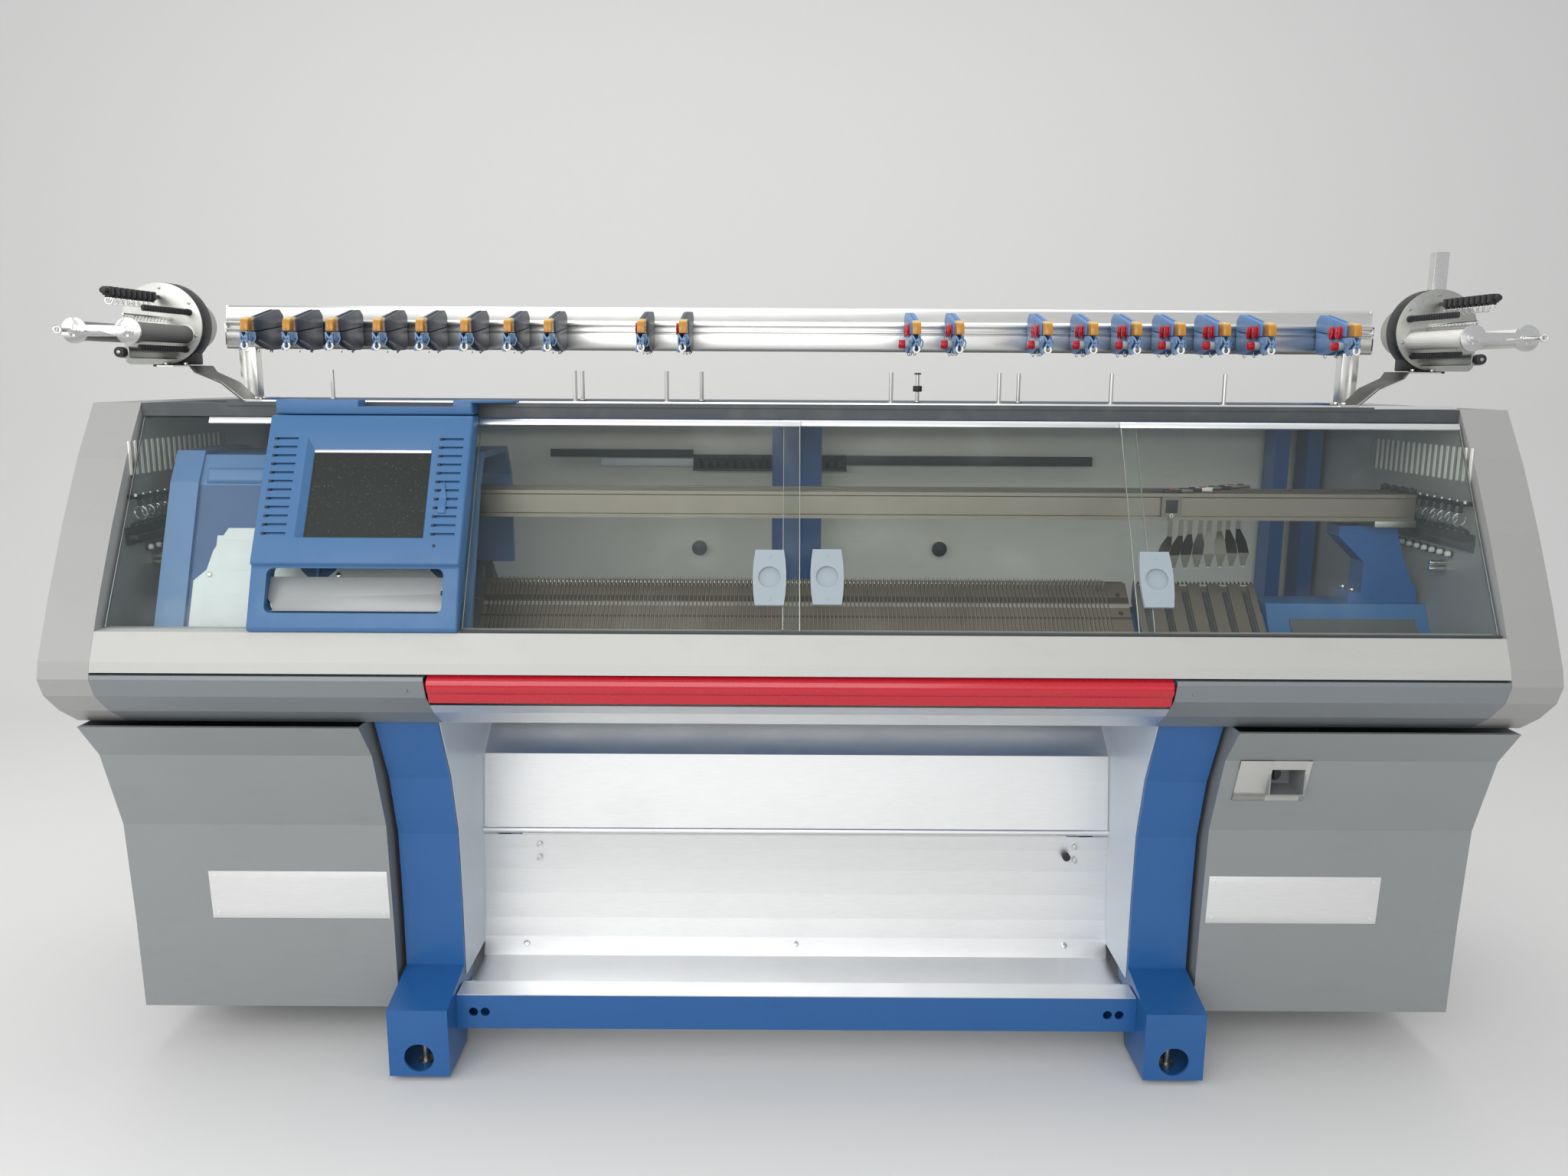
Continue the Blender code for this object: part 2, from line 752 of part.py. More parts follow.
def engaging_bar():
    """The round red bar along the nose that starts and stops the machine, with a grip under it."""
    y = bar_axis()
    loop = arc((y, BAR_HEIGHT), BAR_RADIUS, BAR_TURN_START, BAR_TURN_START + BAR_TURN, BAR_SIDES)
    loop += [(y - BAR_LIP_THICK, BAR_HEIGHT - BAR_RADIUS - BAR_LIP),
             (y, BAR_HEIGHT - BAR_RADIUS - BAR_LIP)]
    half = BAR_HALF_LENGTH - BAR_END_SPACE
    bar = outline_solid("engaging_bar", [loop], -half, half)
    pin_end = BEARING_AT + BEARING_THICK
    for side in (-1, 1):
        slant_end(bar, side * half, SILL_FOOT, BAR_SLANT)
        inside = half - (SILL_FOOT - BAR_HEIGHT) * BAR_SLANT - BAR_RADIUS
        weld_on(bar, rod("bar_pin", (side * inside, y, BAR_HEIGHT), (side * pin_end, y, BAR_HEIGHT),
                         BAR_PIN_RADIUS, 24))
    as_node(bar, "engaging_bar", "red")
    carried_by("engaging_bar_axis", (0, y, BAR_HEIGHT), bar)
    return bar


def lower_front_rail():
    """The bright strip under the bar, folded under the casing."""
    top = RAIL_STRIP_TOP - BAR_LIP
    path = [(front_at(top) + FASCIA_LIP, top), *reversed(casing_between(CASING_LOW, top)),
            (casing_front()[0][0] + FASCIA_LIP, CASING_LOW)]
    rail = outline_solid("lower_front_rail", [sheet_outline(path, SHEET)],
                         -BAR_HALF_LENGTH, BAR_HALF_LENGTH)
    for side in (-1, 1):
        slant_end(rail, side * BAR_HALF_LENGTH, SILL_FOOT, BAR_SLANT)
    return as_node(rail, "lower_front_rail", "aluminium")


def window_frame(track):
    """The leaning plane of a track: x along the machine, y up the slope, thickness outwards."""
    foot = Vector((0, front_at(SILL_TOP) + TRACK_INSET + TRACK_PITCH * track, SILL_TOP + GAP))
    lean = Matrix.Rotation(math.radians(90) - WINDOW_LEAN, 4, "X")
    return Matrix.Translation(foot) @ lean


def window_height():
    return (WINDOW_TOP - SILL_TOP) / math.cos(WINDOW_LEAN)


def pane(name, left, right, track):
    """A sheet of glass that stands on the sill, its foot cut level to run on the ledge."""
    foot = front_at(SILL_TOP) + TRACK_INSET + TRACK_PITCH * track
    rise = WINDOW_TOP - SILL_TOP
    shift = rise * math.tan(WINDOW_LEAN)
    across = GLASS / math.cos(WINDOW_LEAN)
    outline = [(foot, SILL_TOP + GAP), (foot + across, SILL_TOP + GAP),
               (foot + across + shift, WINDOW_TOP), (foot + shift, WINDOW_TOP)]
    made = outline_solid(name, [outline], left, right)
    return as_node(made, name, "glass")


def handle(name, middle, track):
    """A barrel-shaped pull with a finger dish, screwed to the outside of a pane."""
    half_w, half_h = HANDLE_WIDTH / 2, HANDLE_HEIGHT / 2
    neck = half_w * HANDLE_BULGE_SHARE
    right = [(half_w + (neck - half_w) * s * s, half_h * s) for s in HANDLE_SIDE_SHARES]
    outline = right + [(-a, b) for a, b in reversed(right)]
    place = window_frame(track) @ Matrix.Translation((middle, HANDLE_UP, 0))
    made = outline_solid(name, [outline], GAP, HANDLE_THICK, plane="xy", frame=place)
    dish_low = place @ Vector((0, 0, HANDLE_THICK - HANDLE_DISH_DEPTH))
    dish_high = place @ Vector((0, 0, HANDLE_THICK + OVERRUN))
    cut(made, rod(name + "_dish", dish_low, dish_high, HANDLE_DISH, 24))
    return as_node(made, name, "pale")


def windows():
    """One fixed pane and three doors on two tracks; the outer track is nought."""
    pane("fixed_window", -WINDOW_END, -DOOR_MIDDLE, 1)
    plans = (
        ("left", -DOOR_MIDDLE - DOOR_OVERLAP, GAP, 0, HANDLE_LEFT),
        ("middle", -DOOR_OVERLAP, DOOR_MIDDLE + DOOR_OVERLAP, 1, HANDLE_MIDDLE),
        ("right", DOOR_MIDDLE, WINDOW_END, 0, HANDLE_RIGHT),
    )
    for word, start, end, track, grip in plans:
        glass = pane("door_" + word, start, end, track)
        pull = handle("door_handle_" + word, grip, track)
        carried_by("door_" + word + "_slide", (0, front_at(SILL_TOP), SILL_TOP), glass, pull)


def top_deck():
    """The deck over the windows with its raised tray and the row of yarn pins."""
    half = inner_half_width() - GAP
    back = DECK_FRONT + DECK_DEPTH
    deck = box("top_deck", (-half, DECK_FRONT, CASING_TOP - DECK_THICK), (half, back, CASING_TOP))
    tray = box("tray", (-TRAY_HALF_WIDTH, DECK_FRONT - SHEET, CASING_TOP - TRAY_RISE),
               (TRAY_HALF_WIDTH, back - SHEET, CASING_TOP + TRAY_RISE))
    pins = [
        rod("pin", (x, y, CASING_TOP), (x, y, CASING_TOP + TRAY_RISE + PIN_HEIGHT), PIN_RADIUS, 8)
        for y, places in ((PIN_ROW_FRONT, PIN_PLACES_FRONT), (PIN_ROW_BACK, PIN_PLACES_BACK))
        for x in places
    ]
    weld_on(deck, tray, joined("pins", pins))
    return as_node(deck, "top_deck", "dark")


def leg_front():
    """The leg's front edge from its top down to the foot."""
    return [(-FOOT_REACH * out, FOOT_TOP + (LEG_TOP - FOOT_TOP) * up) for out, up in LEG_CURVE_SHARES]


def leg(name, side):
    """A leg folded from plate: a curved front with two cheeks, open behind, standing on a boxed foot."""
    curve = leg_front()
    plate = LEG_PLATE
    outline = [*curve, (-FOOT_REACH, FOOT_TOP), (-FOOT_REACH, FLOOR_GAP),
               (-FOOT_REACH + FOOT_DEPTH, FLOOR_GAP),
               *[(y + LEG_DEPTH, z) for y, z in reversed(curve)]]
    start, end = side * LEG_INNER, side * (LEG_INNER + LEG_WIDTH)
    made = outline_solid(name, [outline], start, end)
    round_rim(made, start, LEG_ROUND)
    round_rim(made, end, LEG_ROUND)
    top, *rest = curve
    inside = [(top[0] + plate, top[1] - plate), *[(y + plate, z) for y, z in rest],
              (-FOOT_REACH + plate, FOOT_TOP - plate), (-FOOT_REACH + plate, FLOOR_GAP + plate),
              (-FOOT_REACH + FOOT_DEPTH + OVERRUN, FLOOR_GAP + plate),
              *[(y + LEG_DEPTH + OVERRUN, z) for y, z in reversed(rest)],
              (top[0] + LEG_DEPTH + OVERRUN, top[1] - plate)]
    cut(made, outline_solid(name + "_inside", [inside], start + side * plate, end - side * plate))
    middle = side * (LEG_INNER + LEG_WIDTH / 2)
    front_hole = rod(name + "_hole", (middle, -FOOT_REACH - OVERRUN, FOOT_HOLE_HEIGHT),
                     (middle, -FOOT_REACH + plate * 2, FOOT_HOLE_HEIGHT), FOOT_HOLE_RADIUS, 24)
    y = -FOOT_REACH + STUD_INSET
    stud_hole = rod(name + "_stud_hole", (middle, y, FLOOR_GAP - OVERRUN),
                    (middle, y, FLOOR_GAP + plate * 2), STUD_RADIUS + GAP, 16)
    cut(made, front_hole, stud_hole)
    return as_node(made, name, "blue")


def turned(name, profile, place, sides):
    """A shape turned about the upright axis from a profile that runs down its outer side."""
    bm = bmesh.new()
    verts = [bm.verts.new((r, 0, z)) for r, z in profile]
    for a, b in zip(verts, verts[1:]):
        bm.edges.new((a, b))
    obj = mesh_object(name, bm, Matrix.Translation(place))
    screw = obj.modifiers.new("turned", "SCREW")
    screw.steps = sides
    screw.render_steps = sides
    screw.use_merge_vertices = True
    screw.merge_threshold = GAP / 10
    return obj


def levelling_foot(name, x, y):
    """A threaded stud on a round pad that carries a corner of the stand."""
    top = FLOOR_GAP - GAP
    profile = [(0, STUD_HEIGHT), (STUD_RADIUS, STUD_HEIGHT), (STUD_RADIUS, top), (PAD_NECK, top),
               (PAD_RADIUS, PAD_EDGE), (PAD_RADIUS, 0), (0, 0)]
    return as_node(turned(name, profile, (x, y, 0), 20), name, "zinc")


def levelling_feet():
    x = LEG_INNER + LEG_WIDTH / 2
    front = -FOOT_REACH + STUD_INSET
    back = REAR_LEG_FRONT + REAR_LEG_DEPTH / 2
    for row, y in (("front", front), ("rear", back)):
        for word, side in (("left", -1), ("right", 1)):
            levelling_foot(f"levelling_foot_{row}_{word}", side * x, y)


def rear_frame():
    """Two rear legs and the rail between their tops, welded as one, with holes for the studs."""
    outer, inner = LEG_INNER + LEG_WIDTH, LEG_INNER
    low, rail = FLOOR_GAP, LEG_TOP - REAR_RAIL_HEIGHT
    outline = [(-outer, low), (-inner, low), (-inner, rail), (inner, rail), (inner, low), (outer, low),
               (outer, LEG_TOP), (-outer, LEG_TOP)]
    back = REAR_LEG_FRONT + REAR_LEG_DEPTH
    made = outline_solid("rear_frame", [outline], REAR_LEG_FRONT, back, plane="xz")
    x, y = LEG_INNER + LEG_WIDTH / 2, REAR_LEG_FRONT + REAR_LEG_DEPTH / 2
    holes = [rod("hole", (side * x, y, low - OVERRUN), (side * x, y, STUD_HEIGHT + OVERRUN),
                 STUD_RADIUS + GAP, 16) for side in (-1, 1)]
    cut(made, joined("rear_frame_holes", holes))
    return as_node(made, "rear_frame", "blue")


def front_cross_beam():
    """The square tube between the feet, with a pair of bolt holes near each end."""
    half = LEG_INNER - GAP
    back = BEAM_FRONT + BEAM_DEPTH
    wall = LEG_PLATE
    outer = [(BEAM_FRONT, BEAM_LOW), (back, BEAM_LOW), (back, BEAM_HIGH), (BEAM_FRONT, BEAM_HIGH)]
    inner = [(BEAM_FRONT + wall, BEAM_LOW + wall), (BEAM_FRONT + wall, BEAM_HIGH - wall),
             (back - wall, BEAM_HIGH - wall), (back - wall, BEAM_LOW + wall)]
    made = outline_solid("front_cross_beam", [outer, inner], -half, half)
    z = (BEAM_LOW + BEAM_HIGH) / 2
    holes = [
        rod("hole", (side * (LEG_INNER - inset), BEAM_FRONT - OVERRUN, z),
            (side * (LEG_INNER - inset), BEAM_FRONT + wall * 2, z), BEAM_HOLE_RADIUS, 16)
        for side in (-1, 1) for inset in BEAM_HOLE_INSETS
    ]
    cut(made, joined("front_cross_beam_holes", holes))
    return as_node(made, "front_cross_beam", "blue")


def bed_line(u):
    """Height of the needle beds' upper faces at a distance from the gap plane."""
    return BED_TOP - (u - BED_GAP) * math.tan(BED_SLANT)


def bed_under(u):
    return bed_line(u) - BED_THICK / math.cos(BED_SLANT)


def bed_frame():
    """The cast bed: a front and a rear carrier with a throat for the fabric, joined by the end blocks."""
    bottom = LEG_TOP + GAP
    reach = BED_GAP + (BED_SLOPE - BED_THICK) * math.cos(BED_SLANT)
    seat = GAP * 2
    carriers = []
    for side, foot in ((-1, FRAME_FRONT_FOOT), (1, FRAME_BACK_FOOT)):
        inner = GAP_PLANE + side * THROAT
        outer = GAP_PLANE + side * reach
        web = FRAME_BACK_WEB if side > 0 else foot + OVERRUN
        carriers.append([(inner, bottom), (inner, bed_under(THROAT) - seat),
                         (outer, bed_under(reach) - seat), (web, bottom + FRAME_WEB),
                         (foot, bottom + FRAME_WEB), (foot, bottom)])
    front, rear = (outline_solid("bed_frame", [loop], -BLOCK_START - OVERRUN, BLOCK_START + OVERRUN)
                   for loop in carriers)
    block = [(FRAME_FRONT_FOOT, bottom), (FRAME_FRONT_FOOT, bottom + FRAME_WEB),
             (FRAME_FRONT_FOOT + OVERRUN, bottom + FRAME_WEB),
             (GAP_PLANE - reach, bed_under(reach) - seat),
             (GAP_PLANE - BLOCK_HALF_TOP * BLOCK_SHOULDER_SHARE, BLOCK_TOP - BLOCK_HALF_TOP),
             (GAP_PLANE - BLOCK_HALF_TOP, BLOCK_TOP), (GAP_PLANE + BLOCK_HALF_TOP, BLOCK_TOP),
             (GAP_PLANE + BLOCK_HALF_TOP * BLOCK_SHOULDER_SHARE, BLOCK_TOP - BLOCK_HALF_TOP),
             (GAP_PLANE + reach, bed_under(reach) - seat), (FRAME_BACK_WEB, bottom + FRAME_WEB),
             (FRAME_BACK_FOOT, bottom + FRAME_WEB), (FRAME_BACK_FOOT, bottom)]
    ends = [outline_solid("end_block", [block], side * BLOCK_START, side * (inner_half_width() - GAP))
            for side in (-1, 1)]
    clamps = [clamp_plate("clamp_plate", side) for side in (-1, 1)]
    weld_on(front, *ends, rear, *clamps)
    return as_node(front, "bed_frame", "blue")


def slope_frame(side):
    """A bed's own frame, from the top of its comb: x along the bed, y out of its face."""
    along, up = math.cos(BED_SLANT), math.sin(BED_SLANT)
    turn = Matrix(((1, 0, 0), (0, side * up, -along), (0, along, side * up)))
    return Matrix.Translation((0, GAP_PLANE + side * BED_GAP, BED_TOP)) @ turn.to_4x4()


def grooved_slab(name, side, left, right, lanes, pitch, length, thick):
    """A sloping slab with a row of lanes cut along its slope and its upper end trimmed upright."""
    width = pitch * GROOVE_SHARE
    first = (left + right) / 2 - pitch * (lanes - 1) / 2
    outline = [(left, -thick), (left, 0)]
    for i in range(lanes):
        x = first + i * pitch
        outline += [(x - width / 2, 0), (x - width / 2, -GROOVE_DEPTH),
                    (x + width / 2, -GROOVE_DEPTH), (x + width / 2, 0)]
    outline += [(right, 0), (right, -thick)]
    ends = (-thick * 2, length) if side < 0 else (-length, thick * 2)
    slab = outline_solid(name, [outline], *ends, plane="xy", frame=slope_frame(side))
    over = thick * 3
    low = min(GAP_PLANE + side * BED_GAP, GAP_PLANE - side * over)
    high = max(GAP_PLANE + side * BED_GAP, GAP_PLANE - side * over)
    return cut(slab, box(name + "_trim", (left - OVERRUN, low, BED_TOP - over),
                         (right + OVERRUN, high, BED_TOP + over)))


def needle_beds():
    """The front bed is bolted down; the rear bed racks sideways."""
    for name, side in (("front_needle_bed", -1), ("rear_needle_bed", 1)):
        bed = grooved_slab(name, side, -BED_HALF_LENGTH, BED_HALF_LENGTH, NEEDLES, NEEDLE_PITCH,
                           BED_SLOPE, BED_THICK)
        as_node(bed, name, "steel")
        if side > 0:
            carried_by("racking_slide", (0, GAP_PLANE, BED_TOP), bed)


def clamp_plate(name, side):
    """The yarn clamps' plate at an end of the front bed, level with it."""
    ends = sorted((side * CLAMP_START, side * CLAMP_END))
    pitch = (CLAMP_END - CLAMP_START) / CLAMP_LANES
    sunk = BED_THICK + GAP * 8
    return grooved_slab(name, -1, *ends, CLAMP_LANES, pitch, BED_SLOPE * CLAMP_SHARE, sunk)


def rail_support(name, side):
    """The cast bracket that carries the ends of the yarn guide rails on the end block."""
    base = BLOCK_TOP + GAP
    arm_top = RAIL_LOW - SUPPORT_PLATE - GAP
    outline = [
        (SUPPORT_BASE_START, base), (SUPPORT_BASE_END, base),
        (SUPPORT_BASE_END, base + SUPPORT_BASE_HEIGHT),
        (SUPPORT_ARM_END + SUPPORT_PLATE * 2, SUPPORT_NECK_HEIGHT), (SUPPORT_ARM_END, arm_top),
        (SUPPORT_ARM_START, arm_top), (SUPPORT_ARM_START, arm_top - SUPPORT_BASE_HEIGHT),
        (SUPPORT_NECK_START, SUPPORT_NECK_HEIGHT), (SUPPORT_NECK_START, base + SUPPORT_BASE_HEIGHT),
        (SUPPORT_BASE_START, base + SUPPORT_BASE_HEIGHT),
    ]
    outline = [(side * x, z) for x, z in outline]
    made = outline_solid(name, [outline], GAP_PLANE - SUPPORT_HALF_DEPTH,
                         GAP_PLANE + SUPPORT_HALF_DEPTH, plane="xz")
    return as_node(made, name, "blue")


def rail_middle(index):
    return GAP_PLANE + (index - (RAILS - 1) / 2) * RAIL_PITCH


def yarn_guide_rails():
    """Four flat rails side by side with beaded edges, on a plate at each end."""
    half = RAIL_THICK / 2
    rails = []
    for index in range(RAILS):
        y = rail_middle(index)
        waist = half - RAIL_LIP
        bead = RAIL_LIP_HEIGHT + RAIL_LIP
        loop = [(y - half, RAIL_LOW), (y + half, RAIL_LOW), (y + half, RAIL_LOW + RAIL_LIP_HEIGHT),
                (y + waist, RAIL_LOW + bead), (y + waist, RAIL_HIGH - bead),
                (y + half, RAIL_HIGH - RAIL_LIP_HEIGHT), (y + half, RAIL_HIGH), (y - half, RAIL_HIGH),
                (y - half, RAIL_HIGH - RAIL_LIP_HEIGHT), (y - waist, RAIL_HIGH - bead),
                (y - waist, RAIL_LOW + bead), (y - half, RAIL_LOW + RAIL_LIP_HEIGHT)]
        rails.append(outline_solid("rail", [loop], -RAIL_HALF_LENGTH, RAIL_HALF_LENGTH))
    over = half + RAIL_LIP
    plate_end = RAIL_HALF_LENGTH + RAIL_LIP
    plates = [
        box("plate",
            (min(side * SUPPORT_NECK_START, side * plate_end), rail_middle(0) - over,
             RAIL_LOW - SUPPORT_PLATE),
            (max(side * SUPPORT_NECK_START, side * plate_end), rail_middle(RAILS - 1) + over,
             RAIL_LOW + RAIL_LIP))
        for side in (-1, 1)
    ]
    made = weld_on(rails[0], *plates, *rails[1:])
    return as_node(made, "yarn_guide_rails", "aluminium")


def guide_lane(index):
    """Across the machine, the middle of a guide's lane beside its rail."""
    side = -1 if index % 2 == 0 else 1
    return rail_middle(index // 2) + side * (RAIL_THICK / 2 + GAP + GUIDE_SHOE_THICK / 2)


def yarn_guide(index):
    """A shoe on the side of a rail with a thin blade that leads its yarn in to the needle gap."""
    name = f"yarn_guide_{index + 1}"
    lane = guide_lane(index)
    x = GUIDE_START + GUIDE_STEP * index
    tip = GAP_PLANE + (index - (GUIDES - 1) / 2) * GUIDE_TIP_PITCH
    thick = GUIDE_BLADE_THICK
    shoe_low = (RAIL_LOW + RAIL_HIGH - GUIDE_SHOE_HEIGHT) / 2
    path = [(lane + thick / 2, shoe_low + RAIL_LIP), (lane + thick / 2, GUIDE_BEND_HEIGHT),
            (tip + thick / 2, GUIDE_STRAIGHT_HEIGHT), (tip + thick / 2, GUIDE_TIP_HEIGHT)]
    strip = outline_solid(name, [sheet_outline(path, -thick)], x - GUIDE_BLADE_WIDTH, x + GUIDE_BLADE_WIDTH)
    neck, wide, end = GUIDE_NECK_WIDTH / 2, GUIDE_BLADE_WIDTH / 2, GUIDE_TIP_WIDTH / 2
    right = [(end, GUIDE_TIP_HEIGHT), (wide, GUIDE_STRAIGHT_HEIGHT), (wide, GUIDE_WIDE_HEIGHT),
             (neck, GUIDE_BEND_HEIGHT), (neck, shoe_low + RAIL_LIP * 2)]
    shape = [(x + a, z) for a, z in right] + [(x - a, z) for a, z in reversed(right)]
    low, high = min(lane, tip) - OVERRUN, max(lane, tip) + OVERRUN
    boolean(strip, outline_solid(name + "_shape", [shape], low, high, plane="xz"), "INTERSECT")
    shoe = box(name + "_shoe", (x - GUIDE_SHOE_LENGTH, lane - GUIDE_SHOE_THICK / 2, shoe_low),
               (x + GUIDE_SHOE_LENGTH, lane + GUIDE_SHOE_THICK / 2, shoe_low + GUIDE_SHOE_HEIGHT))
    weld_on(strip, shoe)
    as_node(strip, name, "steel")
    carried_by(name + "_slide", (x, lane, RAIL_LOW), strip)


def carriage():
    """Two cam boxes over the beds, the bow that joins them over the rails, and the moulded cover."""
    start, end = CARRIAGE_START, CARRIAGE_START + CARRIAGE_LENGTH
    inset = CAM_MARGIN
    under = CAM_RUNNING / math.cos(BED_SLANT)
    rise = CAM_THICK / math.cos(BED_SLANT)
    low_u = BED_GAP + BED_SLOPE * math.cos(BED_SLANT)
    boxes = []
    for side in (-1, 1):
        loop = [(THROAT, bed_line(THROAT) + under), (low_u, bed_line(low_u) + under),
                (low_u + CAM_THICK / 2, bed_line(low_u) + under + CAM_THICK),
                (BOW_HALF_INNER + BOW_THICK, bed_line(BOW_HALF_INNER) + rise),
                (BOW_HALF_INNER, bed_line(BOW_HALF_INNER) + rise), (THROAT, bed_line(THROAT) + rise)]
        loop = [(GAP_PLANE + side * u, z) for u, z in loop]
        boxes.append(outline_solid("cam_box", [loop], start + inset, end - inset))
    top = COVER_TOP - COVER_SHEET - GAP
    under_bow = RAIL_HIGH + BOW_CLEAR
    foot = bed_line(BOW_HALF_INNER) + rise / 2
    inner, outer = BOW_HALF_INNER, BOW_HALF_INNER + BOW_THICK
    bow_loop = [(-outer, foot), (-inner, foot), (-inner, under_bow), (inner, under_bow), (inner, foot),
                (outer, foot), (outer, top - COVER_SHOULDER * 2), (outer - COVER_SHOULDER, top),
                (COVER_SHOULDER - outer, top), (-outer, top - COVER_SHOULDER * 2)]
    middle = (start + end) / 2
    bow = outline_solid("bow", [[(GAP_PLANE + u, z) for u, z in bow_loop]],
                        middle - BOW_LENGTH / 2, middle + BOW_LENGTH / 2)
    weld_on(bow, *boxes)
    as_node(bow, "carriage_bow", "steel")
    cover = carriage_cover(start, end)
    carried_by("carriage_slide", (middle, GAP_PLANE, BED_TOP), bow, cover)


def carriage_path(proud):
    """The cover's section as (y, z), moved outwards by an amount."""
    back = GAP_PLANE + BOW_HALF_INNER + BOW_THICK + COVER_BEHIND
    front = front_at(COVER_FOOT) + COVER_STAND
    knee_z = COVER_FOOT + (COVER_TOP - COVER_FOOT) * COVER_KNEE_SHARE
    knee = front + (knee_z - COVER_FOOT) * math.tan(COVER_LEAN)
    return [(front - proud, COVER_FOOT), (knee - proud, knee_z),
            (knee + COVER_SHOULDER, COVER_TOP + proud), (back - COVER_SHOULDER, COVER_TOP + proud),
            (back + proud, knee_z), (back + proud, COVER_BACK_FOOT)]


def carriage_cover(start, end):
    cover = outline_solid("carriage_cover", [sheet_outline(carriage_path(0), -COVER_SHEET)], start, end)
    band = sheet_outline(carriage_path(COVER_BAND_RISE), -COVER_SHEET - COVER_BAND_RISE)
    bands = [outline_solid("band", [band], start, start + COVER_BAND),
             outline_solid("band", [band], end - COVER_BAND, end)]
    weld_on(cover, *bands)
    return as_node(cover, "carriage_cover", "blue")


def pane_front(height):
    """How far forward the outer track's glass stands at a height."""
    return front_at(SILL_TOP) + TRACK_INSET + (height - SILL_TOP) * math.tan(WINDOW_LEAN)


def panel_frame():
    """The bezel's leaning face: x along the machine, y up the face, thickness outwards."""
    foot = Vector((0, pane_front(PANEL_STEP) - PANEL_STAND, PANEL_STEP))
    lean = Matrix.Rotation(math.radians(90) - WINDOW_LEAN, 4, "X")
    return Matrix.Translation(foot) @ lean


def panel_width():
    return PANEL_RIGHT - PANEL_LEFT


def panel_face_height():
    return (PANEL_TOP - PANEL_STEP) / math.cos(WINDOW_LEAN)


def operator_panel():
    """The moulded housing in front of the fixed window: a leaning bezel over an open frame."""
    stand, step, gap = PANEL_STAND, PANEL_STEP_IN, GAP * 2
    top_y = pane_front(PANEL_TOP)
    outline = [
        (top_y - stand, PANEL_TOP), (pane_front(PANEL_STEP) - stand, PANEL_STEP),
        (pane_front(PANEL_STEP) - stand + step, PANEL_STEP - step),
        (front_at(PANEL_FOOT) - SHEET * 3, PANEL_FOOT),
        (front_at(PANEL_FOOT) - gap, PANEL_FOOT), (front_at(SILL_TOP) - gap, SILL_TOP + GAP),
        (pane_front(SILL_TOP) - SHEET, SILL_TOP + GAP), (top_y - SHEET, PANEL_TOP),
    ]
    made = outline_solid("operator_panel", [outline], PANEL_LEFT, PANEL_RIGHT)
    round_rim(made, PANEL_LEFT, PANEL_ROUND)
    round_rim(made, PANEL_RIGHT, PANEL_ROUND)
    frame = panel_frame()
    width, height = panel_width(), panel_face_height()
    left, right = (PANEL_LEFT + width * s for s in (SCREEN_LEFT_SHARE, SCREEN_RIGHT_SHARE))
    low, high = (height * s for s in (SCREEN_LOW_SHARE, SCREEN_HIGH_SHARE))
    recess = [(left, low), (right, low), (right, high), (left, high)]
    cut(made, outline_solid("screen_recess", [recess], -SCREEN_RECESS, OVERRUN, plane="xy", frame=frame))
    pitch = (SIDE_VENT_HIGH_SHARE - SIDE_VENT_LOW_SHARE) * height / (VENTS - 1)
    vents = []
    for column in (PANEL_LEFT + width * VENT_EDGE_SHARE,
                   PANEL_RIGHT - width * VENT_EDGE_SHARE - VENT_LENGTH):
        for i in range(VENTS):
            y = height * SIDE_VENT_LOW_SHARE + i * pitch
            slot = [(column, y), (column + VENT_LENGTH, y), (column + VENT_LENGTH, y + VENT_HEIGHT),
                    (column, y + VENT_HEIGHT)]
            vents.append(outline_solid("vent", [slot], -VENT_DEPTH, OVERRUN, plane="xy", frame=frame))
    cut(made, joined("panel_vents", vents))
    hole_low, hole_top = PANEL_FOOT + WINDOW_MARGIN, PANEL_STEP - step - SHEET
    front = -CASING_REACH - stand
    hole = [(front, hole_low), (pane_front(hole_low), hole_low), (pane_front(hole_top), hole_top),
            (front, hole_top)]
    cut(made, outline_solid("panel_window", [hole], PANEL_LEFT + WINDOW_MARGIN,
                            PANEL_RIGHT - WINDOW_MARGIN))
    as_node(made, "operator_panel", "blue")
    screen = [(left + GAP, low + GAP), (right - GAP, low + GAP), (right - GAP, high - GAP),
              (left + GAP, high - GAP)]
    glass = outline_solid("panel_screen", [screen], GAP - SCREEN_RECESS, SCREEN_THICK - SCREEN_RECESS,
                          plane="xy", frame=frame)
    as_node(glass, "panel_screen", "dark")


def document_tray():
    """The leaning sheet with notched corners that stands in the panel's open frame."""
    left, right = PANEL_LEFT + WINDOW_MARGIN + GAP, PANEL_RIGHT - WINDOW_MARGIN - GAP
    low = PANEL_FOOT + WINDOW_MARGIN + GAP
    high = low + TRAY_HEIGHT
    stand = TRAY_STAND
    sheet = [(pane_front(low) - stand, low), (pane_front(low) - stand + TRAY_SHEET, low),
             (pane_front(high) - stand + TRAY_SHEET, high), (pane_front(high) - stand, high)]
    tray = outline_solid("document_tray", [sheet], left, right)
    notches = [
        box("notch", (x - TRAY_NOTCH, pane_front(low) - stand * 2, high - TRAY_NOTCH),
            (x + TRAY_NOTCH, pane_front(high), high + OVERRUN))
        for x in (left, (left + right) / 2, right)
    ]
    cut(tray, joined("tray_notches", notches))
    return as_node(tray, "document_tray", "aluminium")


def cabinet_front():
    span = CABINET_TOP - CABINET_LOW
    return [(-CASING_REACH * out, CABINET_LOW + span * up) for out, up in CABINET_FRONT_SHARES]


